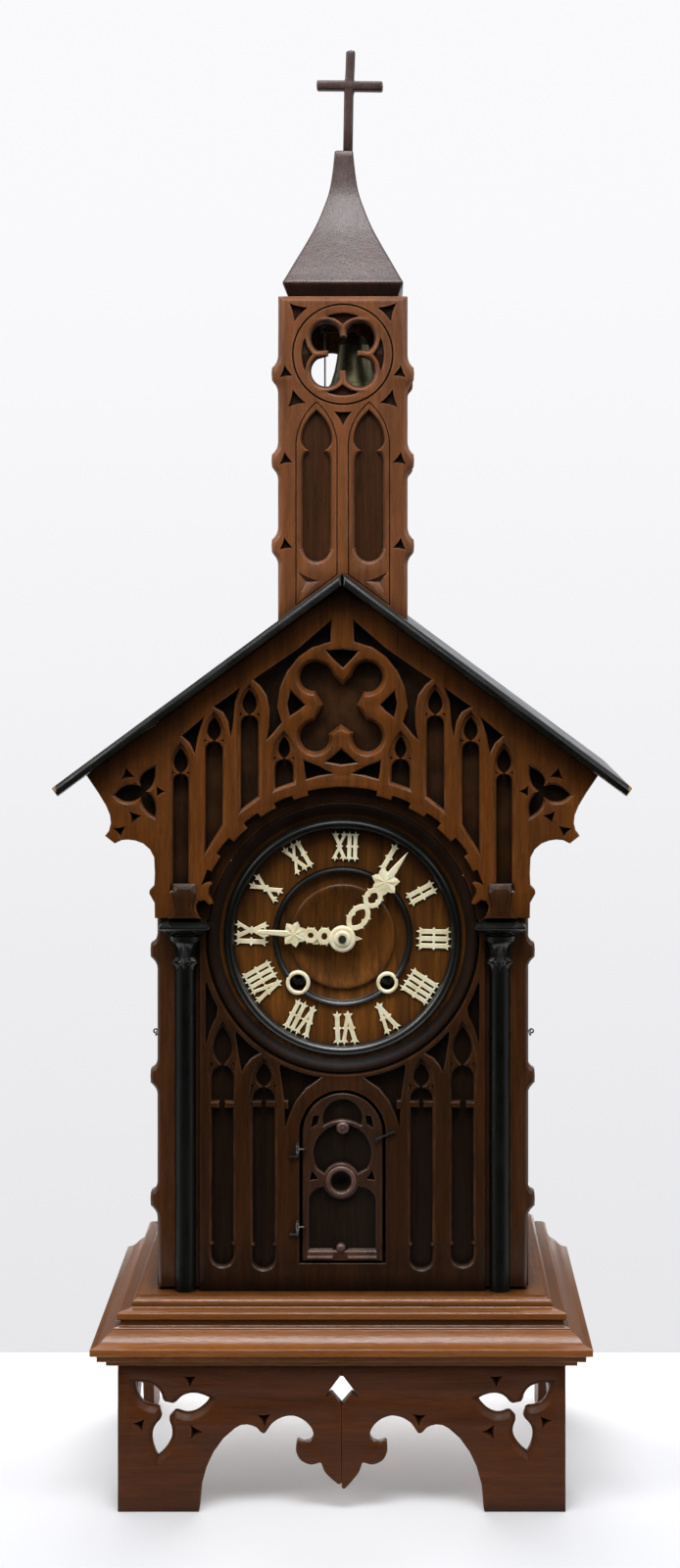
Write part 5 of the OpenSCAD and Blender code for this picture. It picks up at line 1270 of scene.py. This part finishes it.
bm = bmesh.new()
bz = [(74.2, -6.5), (74.2, -9.6), (74.6, -11.2), (75.6, -12.7), (77.0, -13.4), (78.8, -13.0), (80.1, -11.7), (81.0, -9.8), (81.5, -8.2), (81.6, -6.5), (74.2, -6.5)]
lathe_into(bm, bz, (0, -57.5, DZ), "Y", 128)
bmesh.ops.remove_doubles(bm, verts=bm.verts[:], dist=1e-7)
finish_mesh("dial_bezel_turned", bm, B_RING, "case", ["dial_bezel"], angle=40)

bm = bmesh.new()
for s, ro, ri in ((-1, 8.3, 5.75), (1, 7.4, 5.1)):
    lathe_into(bm, [(ri, -6.45), (ri, -8.9), (ri + 0.35, -9.3), ((ri + ro) / 2, -9.45), (ro - 0.6, -9.25), (ro, -8.6), (ro, -6.45), (ri, -6.45)], (s * 30.5, -57.5, DZ - 31.366), "Y", 48)
bmesh.ops.remove_doubles(bm, verts=bm.verts[:], dist=1e-7)
finish_mesh("winding_rings", bm, BONE, "case", ["winding_grommets"], angle=50)

# numerals
H_ = 10.8


def stroke(x0, x1, w, spur=True, w1=None):
    """One stroke from the bottom (x0) to the top (x1) with small spurs half way and three points at both ends."""
    w1 = w if w1 is None else w1
    right = [(x0 + w / 2, -H_ + 3.3)]
    if spur:
        xm = (x0 + x1) / 2
        right += [(xm + w / 2, -1.1), (xm + w / 2 + 1.2, -0.3), (xm + w / 2 + 1.2, 0.3), (xm + w / 2, 1.1)]
    right += [(x1 + w1 / 2, H_ - 3.3)]
    l2 = [(x1 - w1 / 2, H_ - 3.3)]
    if spur:
        xm = (x0 + x1) / 2
        l2 += [(xm - w / 2, 1.1), (xm - w / 2 - 1.2, 0.3), (xm - w / 2 - 1.2, -0.3), (xm - w / 2, -1.1)]
    l2 += [(x0 - w / 2, -H_ + 3.3)]

    def cap(x, sg, ww):
        return [(x + sg * (ww / 2 + 0.1), sg * (H_ - 3.0)), (x + sg * (ww / 2 + 1.5), sg * (H_ - 0.9)), (x + sg * 0.95, sg * (H_ - 1.2)), (x, sg * (H_ + 1.2)), (x - sg * 0.95, sg * (H_ - 1.2)), (x - sg * (ww / 2 + 1.5), sg * (H_ - 0.9)), (x - sg * (ww / 2 + 0.1), sg * (H_ - 3.0))]
    return right + cap(x1, 1, w1) + l2 + cap(x0, -1, w)


def numeral_strokes(k):
    g = 4.95
    out = []
    if k <= 4:
        x = -g / 2 * (k - 1)
        out = [(x + g * i, x + g * i, 3.25) for i in range(k)]
    elif k <= 8:
        x = -g / 2 * (k - 5)
        out = [(x + 0.2, x - 3.8, 3.25), (x + 0.8, x + 3.5, 2.6)]
        out += [(x + 7.9 + g * i, x + 7.9 + g * i, 3.25) for i in range(k - 5)]
    elif k == 9:
        out = [(-6.0, -6.0, 3.25), (5.4, -1.6, 3.25), (-1.6, 5.4, 2.6)]
    else:
        x = -g / 2 * (k - 10)
        out = [(x + 3.5, x - 3.5, 3.25), (x - 3.5, x + 3.5, 2.6)]
        out += [(x + 8.3 + g * i, x + 8.3 + g * i, 3.25) for i in range(k - 10)]
    return out


bm = bmesh.new()
rnd = random.Random(3)
for k in range(1, 13):
    base_a = math.radians(-30 * k + rnd.uniform(-0.8, 0.8) - {12: 2.2, 2: 1.4, 3: 0.6, 4: 2.6, 5: 2.6, 6: -2.2, 7: -3.4, 9: 2.0, 10: 2.1, 11: 0.7}.get(k, 0))
    rr_ = 62.7 + rnd.uniform(-0.3, 0.15) + {12: -0.8, 2: -1.2, 3: -0.4, 10: -0.8, 11: -0.5}.get(k, 0)
    sc = rnd.uniform(0.985, 1.0)
    wide = {2: 0.97, 3: 0.98, 4: 0.88, 5: 0.95, 6: 0.98, 7: 0.88, 8: 0.86, 9: 0.97, 10: 0.95, 11: 0.85, 12: 0.82}.get(k, 1.0)
    sc *= {1: 0.92, 2: 0.95, 3: 1.03, 11: 0.95, 12: 0.89}.get(k, 1.0)
    for j, (x0, x1, w) in enumerate(numeral_strokes(k)):
        pts_ = stroke(x0, x1, w, spur=abs(x0 - x1) < 0.5 or w > 2)

        def xf(q, a=base_a, rr=rr_, j=j, sc=sc, wide=wide):
            x, y, z = q
            x, z = x * wide, z * sc + rr
            return (x * math.cos(a) - z * math.sin(a), y - 0.02 * j, DZ + x * math.sin(a) + z * math.cos(a))
        plate_into(bm, pts_, [], -65.1, -64.0, prof=[(0.22, 0), (0.0, 0.22)], back_prof=None, xf=xf)
finish_mesh("numerals_cut", bm, BONE, "case", ["numerals"])


# ------------------------------------------------------------------ hands
def xf_hand(angle, cy=0):
    a = math.radians(angle)

    def f(q):
        x, y, z = q
        return (x * math.cos(a) - z * math.sin(a), y, DZ + x * math.sin(a) + z * math.cos(a))
    return f


def rosette(x, r, n=7, depth=0.3):
    pts_ = []
    for i in range(n):
        a = 2 * math.pi * i / n
        for da, rr in ((-0.5, 1 - depth), (-0.27, 0.83), (-0.12, 0.90), (0.0, 1.0), (0.12, 0.90), (0.27, 0.83)):
            aa = a + da * 2 * math.pi / n
            pts_.append((x + r * rr * math.cos(aa), r * rr * math.sin(aa)))
    return pts_


def hand(name, body, node, y0, y1, angle, hub, loops, rose, tip, tail=None):
    bm = bmesh.new()
    xf = xf_hand(angle)
    # openwork arm
    up_ = [(hub * 0.8, hub * 0.45)]
    for cx_, hl, hw_, op in loops:
        for i in range(2, 23):
            t = math.pi * i / 24
            x, z = cx_ - hl * math.cos(t), hw_ * math.sin(t)
            if i in (9, 15):
                up_ += [(x - 0.55, z + 0.1), (x + (0.3 if i > 12 else -0.3), z + 1.35), (x + 0.55, z + 0.1)]
            elif i not in (8, 10, 14, 16):
                up_.append((x, max(z, 1.5)))
    up_.append((rose[0], 1.6))
    up_ = [q for i, q in enumerate(up_) if i == 0 or q[0] > up_[i - 1][0] - 0.01]
    outer = up_ + [(x, -z) for x, z in up_[::-1]]
    holes = []
    for cx_, hl, hw_, op in loops:
        a, b = hl - 3.1, hw_ - 3.0
        hole = []
        for i in range(36):
            t = 2 * math.pi * i / 36
            rr = 0.66 if i in (9, 27) else 0.9 if i in (8, 10, 26, 28) else 1.0
            hole.append((cx_ + a * math.cos(t), b * math.sin(t) * abs(math.sin(t)) ** 0.6 * rr))
        holes.append((hole, [(0.18, 0), (0, 0.2)]))
    plate_into(bm, clean(outer, 0.05), holes, y0 + 0.2, y1, prof=[(0.35, 0), (0.05, 0.25), (0, 0.4)], back_prof=None, xf=xf)
    # hub
    plate_into(bm, circle(0, 0, hub, 40), [(circle(0, 0, 2.4, 24), FINE)], y0 + 0.08, y1, prof=[(0.35, 0), (0, 0.35)], back_prof=None, xf=xf)
    # spear
    x0 = rose[0] + rose[1] * 0.4
    if tail:
        sp = [(x0, -1.9), (x0 + 3, -2.0), (tip - 1.2, -1.5), (tip, -0.4), (tip, 0.4), (tip - 1.2, 1.5), (x0 + 3, 2.0), (x0, 1.9)]
    else:
        sp = [(x0, -2.1), (x0 + 5, -2.4), (tip - 5, -0.95), (tip, 0), (tip - 5, 0.95), (x0 + 5, 2.4), (x0, 2.1)]
    plate_into(bm, sp, [], y0 + 0.1, y1, prof=[(0.55, 0), (0.0, 0.4)], back_prof=None, xf=xf)
    if tail:
        tl = [(-hub * 0.6, 2.4), (-tail + 4, 1.6), (-tail, 0), (-tail + 4, -1.6), (-hub * 0.6, -2.4)]
        plate_into(bm, tl, [], y0 + 0.1, y1, prof=[(0.4, 0), (0.0, 0.3)], back_prof=None, xf=xf)
    # leaf rosette with a raised middle and sunk veins
    rx, rr_ = rose
    ro = rosette(rx, rr_)
    y_edge, n3 = y0 + 0.45, len(ro)
    mid = bm.verts.new([c * MM for c in xf((rx, y0 - 0.05, 0))])
    inner = [bm.verts.new([c * MM for c in xf((rx + (x - rx) * 0.52, y0 + (0.0 if i % 6 in (2, 3, 4) else 0.36), z * 0.52))]) for i, (x, z) in enumerate(ro)]
    outer_v = [bm.verts.new([c * MM for c in xf((x, y_edge + (0.1 if i % 6 == 0 else 0), z))]) for i, (x, z) in enumerate(ro)]
    low_v = [bm.verts.new([c * MM for c in xf((x, y1, z))]) for x, z in ro]
    for i in range(n3):
        j = (i + 1) % n3
        bm.faces.new((mid, inner[i], inner[j]))
        bm.faces.new((inner[i], outer_v[i], outer_v[j], inner[j]))
        bm.faces.new((outer_v[i], low_v[i], low_v[j], outer_v[j]))
    bm.faces.new(low_v[::-1])
    return finish_mesh(name, bm, BONE, body, [node], angle=20)


hand("minute_hand_carved", "minute_arbor", "minute_hand", -72.35, -71.2, 52.8, 8.2, [(18.0, 10.0, 7.0, 0), (34.4, 7.4, 6.2, 0)], (48.3, 10.0), 73.6)
hand("hour_hand_carved", "hour_pipe", "hour_hand", -69.35, -68.2, 176, 8.0, [(12.4, 5.2, 5.8, 0), (21.8, 5.2, 5.2, 0)], (33.4, 9.0), 58.4, tail=13.6)
bm = bmesh.new()
lathe_into(bm, [(2.5, -72.4), (9.0, -72.4), (9.1, -73.3), (8.8, -74.2), (8.0, -74.75), (6.6, -74.9), (5.9, -74.7), (5.6, -74.85), (5.3, -75.5), (4.6, -75.8), (3.0, -75.75), (2.6, -75.5), (2.5, -74.6), (2.5, -72.4)], (0, 0, DZ), "Y", 56)
bmesh.ops.remove_doubles(bm, verts=bm.verts[:], dist=1e-7)
finish_mesh("hand_nut_turned", bm, BONE, "minute_arbor", ["hand_nut"], angle=45)

# ------------------------------------------------------------------ front door
leaf_o = [(-27.9, 158.2), (27.9, 158.2)] + arc(0, 246, 27.9, 0, 180, 24)
bm = bmesh.new()
plate_into(bm, leaf_o, [(circle(-1.0, 213.0, 7.2, 36), ("pit", 3.4)), (circle(0.2, 249.6, 2.2, 20), ("pit", 3.0))], -66.5, -61.5, prof=FINE, back_prof=((0.3, 0.3),))
for z in (183, 236):
    lathe_into(bm, [(0.78, -2.5), (1.25, -2.5), (1.4, -2.2), (1.4, 2.2), (1.25, 2.5), (0.78, 2.5), (0.78, -2.5)], (-30.6, -72.2, z), "Z", 20, mat=1)
    tube_into(bm, [(-30.2, -73.2, z), (-28.0, -73.0, z + 0.2), (-26.4, -72.4, z), (-25.8, -70.8, z - 0.3), (-25.8, -66.3, z - 0.3)], 0.62, 8, mat=1)
finish_mesh("door_leaf", bm, [W_DOOR_GROUND_SHADED, STEEL], "front_door", ["door_panel"])

fr_o = [(-27.2, 158.9), (27.2, 158.9)] + arc(0, 246, 27.2, 0, 180, 24)
low_open = [(-22.8, 166.0), (22.4, 166.0), (22.4, 199.0)] + bez((22.4, 199.0), (22.2, 206.6), (13.0, 208.6), 5)[1:] + arc(-1.0, 213.0, 12.6, -18, -162, 9) + bez((-14.6, 208.6), (-22.6, 206.6), (-22.8, 199.0), 5)
mid_open = arc(-0.2, 231.9, 19.6, -31, 211, 26) + arc(-1.0, 213.0, 12.8, 154, 26, 10)
up_open = arc(0, 255.4, 13.2, -15, 195, 24) + arc(-0.2, 231.9, 23.3, 122.6, 57.4, 12)
eye_t = [[(-21.5, 249.5), (-17.2, 252.0), (-16.0, 258.0), (-20.0, 257.5)], [(21.1, 249.5), (16.8, 252.0), (15.6, 258.0), (19.6, 257.5)], [(-22.4, 213.8), (-16.8, 214.6), (-20.8, 220.4)], [(22.0, 213.8), (16.2, 214.6), (20.4, 220.4)]]
bm = bmesh.new()
plate_into(bm, fr_o, [(wts(low_open, 1.0), cham(1.1, 1.4, 0.15)), (wts(mid_open, 1.0), cham(1.0, 1.2, 0.15)), (wts(up_open, 1.0), cham(1.1, 1.3, 0.15)), (circle(-1.0, 213.0, 6.8, 36), FINE)] + [(wts(e), FINE) for e in eye_t], -69.5, -66.4, prof=[(0.5, 0.0), (0.1, 0.3), (0, 0.6)], back_prof=None)
for cx_, cz_, r0, rt, mi in ((-1.0, 213.0, 8.9, 1.75, 0),):
    ring_pts = []
    rad = [(r0 + rt * math.cos(math.radians(a)), rt * math.sin(math.radians(a))) for a in range(0, 360, 30)]
    rad.append(rad[0])
    lathe_into(bm, [(r, -69.0 - h if abs(h) < 9 else 0) for r, h in rad], (cx_, 0, cz_), "Y", 44, mat=1)
# sill blocks and the knob
for a, b in ((-24.0, -6.8), (3.6, 23.2)):
    y_a, y_b = -70.3, -66.8
    vs = [bm.verts.new((x * MM, y * MM, z * MM)) for x, y, z in ((a, y_b, 160.4), (b, y_b, 160.4), (b, y_a, 160.4), (a, y_a, 160.4), (a, y_b, 166.6), (b, y_b, 166.6), (b, y_a, 161.2), (a, y_a, 161.2))]
    for q in ((0, 3, 2, 1), (4, 5, 6, 7), (0, 1, 5, 4), (2, 3, 7, 6), (1, 2, 6, 5), (3, 0, 4, 7)):
        bm.faces.new([vs[i] for i in q])
kn = [(0.0, -71.2), (1.4, -71.0), (2.6, -70.2), (3.2, -69.2), (3.3, -68.0), (3.0, -66.6), (0.0, -66.6)]
lathe_into(bm, kn, (-1.1, 0, 167.6), "Y", 28, mat=1)
lathe_into(bm, [(0.0, -71.9), (1.1, -71.8), (1.4, -71.3), (2.2, -71.3), (3.4, -70.8), (4.2, -69.8), (4.6, -68.6), (4.6, -66.6), (0.0, -66.6)], (0.2, 0, 249.6), "Y", 32, mat=1)
bmesh.ops.remove_doubles(bm, verts=bm.verts[:], dist=1e-7)
finish_mesh("door_tracery_carved", bm, [W_DOOR, W_DRING], "front_door", ["door_tracery"])

# ------------------------------------------------------------------ the figure in the niche
bm = bmesh.new()
mx, my = 7.0, 1.0


def ring_at(z, rx, ry, folds=0.0, n=40, cx=mx, cy=my):
    return [bm.verts.new(((cx + rx * (1 + folds * math.sin(11 * a) + folds * 0.6 * math.sin(5 * a + 1)) * math.cos(a)) * MM, (cy + ry * (1 + folds * math.sin(11 * a) + folds * 0.6 * math.sin(5 * a + 1)) * math.sin(a)) * MM, z * MM)) for a in [2 * math.pi * i / n for i in range(n)]]


robe = [(154.0, 10.4, 9.4, 0.0), (154.6, 10.9, 9.9, 0.05), (160, 10.0, 9.0, 0.06), (172, 8.8, 7.6, 0.05), (184, 7.8, 6.6, 0.04), (190, 7.2, 6.0, 0.02), (192, 7.3, 6.1, 0.0), (195, 7.3, 6.1, 0.0), (204, 7.6, 6.0, 0.02), (210, 7.5, 6.0, 0.01), (214, 6.6, 5.4, 0.0), (217.5, 4.8, 4.6, 0.0), (220.2, 3.9, 4.2, 0.0), (221.8, 4.2, 4.5, 0.0), (222.4, 3.6, 3.9, 0.0), (221.6, 2.9, 3.0, 0.0)]
rr2 = [ring_at(z, rx, ry, f) for z, rx, ry, f in robe]
for a, b in zip(rr2, rr2[1:]):
    for i in range(40):
        bm.faces.new((a[i], a[(i + 1) % 40], b[(i + 1) % 40], b[i])).material_index = 0
bm.faces.new(rr2[0][::-1]).material_index = 0
# cord belt
for i, (z, dr) in enumerate(((192.2, 0.5), (193.6, 0.5))):
    tube_into(bm, [(mx + 7.55 * math.cos(2 * math.pi * j / 28), my + 6.35 * math.sin(2 * math.pi * j / 28), z) for j in range(28)], 0.55, 6, mat=3, closed=True)
tube_into(bm, [(mx - 1.6, my - 6.5, 192), (mx - 2.0, my - 7.2, 186), (mx - 1.8, my - 7.6, 178), (mx - 2.1, my - 8.0, 172)], 0.5, 6, mat=3)
# neck and head: an egg with brow, nose, chin, ears and a ring of hair
hx, hy, hz = mx - 0.6, my, 229.0
tube_into(bm, [(hx, hy + 0.4, 219.5), (hx, hy + 0.2, 225)], 2.3, 16, mat=1)
NA, NB = 36, 26
hv = []
for j in range(NB + 1):
    ph = math.pi * j / NB
    row = []
    for i in range(NA):
        th = 2 * math.pi * i / NA
        dx, dy, dz_ = math.sin(ph) * math.cos(th), math.sin(ph) * math.sin(th), math.cos(ph)
        front = max(0.0, -dy)
        jaw = 1 - 0.20 * max(0, -dz_) ** 1.4
        r = 1.0
        g = lambda a, b, s: math.exp(-((dx - a) ** 2 + (dz_ - b) ** 2) / s)
        add = front * (0.17 * g(0, -0.16, 0.012) + 0.09 * g(0, 0.0, 0.02) + 0.05 * g(0.0, -0.75, 0.02) + 0.03 * (g(0.34, -0.22, 0.03) + g(-0.34, -0.22, 0.03)) + 0.035 * g(0, -0.50, 0.012) - 0.075 * (g(0.28, 0.06, 0.014) + g(-0.28, 0.06, 0.014)) + 0.05 * (g(0.26, 0.22, 0.018) + g(-0.26, 0.22, 0.018)) - 0.03 * g(0, -0.42, 0.006))
        row.append(bm.verts.new(((hx + 4.35 * jaw * (r + add * 0.3) * dx) * MM, (hy + 4.95 * (r + add) * dy * (0.97 + 0.03 * jaw)) * MM, (hz + 6.1 * dz_) * MM)))
    hv.append(row)
for j in range(NB):
    for i in range(NA):
        k = (i + 1) % NA
        ph = (j + 0.5) / NB
        th = 360 * (i + 0.5) / NA
        faceish = 215 < th < 325
        hair = 0.17 < ph < (0.36 if faceish else 0.56)
        if j == 0 or j == NB - 1:
            pass
        f = bm.faces.new((hv[j][i], hv[j + 1][i], hv[j + 1][k], hv[j][k]))
        f.material_index = 2 if hair and not (faceish and ph > 0.27) else 1
for s in (-1, 1):
    tube_into(bm, [(hx + s * 4.3, hy + 0.2, hz + 0.9), (hx + s * 4.9, hy + 0.5, hz + 0.3), (hx + s * 4.8, hy + 0.5, hz - 0.8), (hx + s * 4.2, hy + 0.1, hz - 1.4)], 0.55, 8, mat=1)
# eyes
for s in (-1, 1):
    lathe_into(bm, [(0.0, -0.35), (0.45, -0.15), (0.5, 0.1), (0.0, 0.35)], (hx + s * 1.25, hy - 4.55, hz + 0.35), "Y", 12, mat=2)
# hood lying on the shoulders
tube_into(bm, [(mx + 5.6 * math.cos(a), my + 1.0 + 5.2 * math.sin(a), 218.2 + 1.5 * math.sin(a)) for a in [2 * math.pi * i / 30 for i in range(30)]], 1.7, 10, mat=0, closed=True)
bmesh.ops.remove_doubles(bm, verts=bm.verts[:], dist=1e-6)
finish_mesh("bell_ringer_figure", bm, [ROBE, SKIN, HAIR, ROPE], "case", ["monk_figure"], angle=50)

bm = bmesh.new()
for s in (-1, 1):
    up_p = smooth_path([(mx + 1.2, 1 + s * 8.6, 213.4), (mx - 0.5, 1 + s * 9.9, 212.2), (mx - 5.5, 1 + s * 9.8, 213.2), (mx - 11, 1 + s * 8.2, 215.2), (mx - 15, 1 + s * 5.8, 217.2), (mx - 18, 1 + s * 4.2, 218.2)], 3)
    tube_into(bm, up_p, lambda t: 2.6 - 0.5 * t + 0.35 * math.sin(9 * t), 14, mat=0)
    tube_into(bm, [(mx - 17.2, 1 + s * 4.4, 218.1), (mx - 19.2, 1 + s * 3.4, 218.8), (mx - 20.6, 1 + s * 2.5, 219.2)], lambda t: 1.5 + 0.25 * math.sin(math.pi * t), 12, mat=1)
tube_into(bm, [(mx, -9.4, 212), (mx, 11.4, 212)], 1.1, 14, mat=0)
finish_mesh("bell_ringer_arms", bm, [ROBE, SKIN], "monk_arms", ["monk_arms"], angle=50)
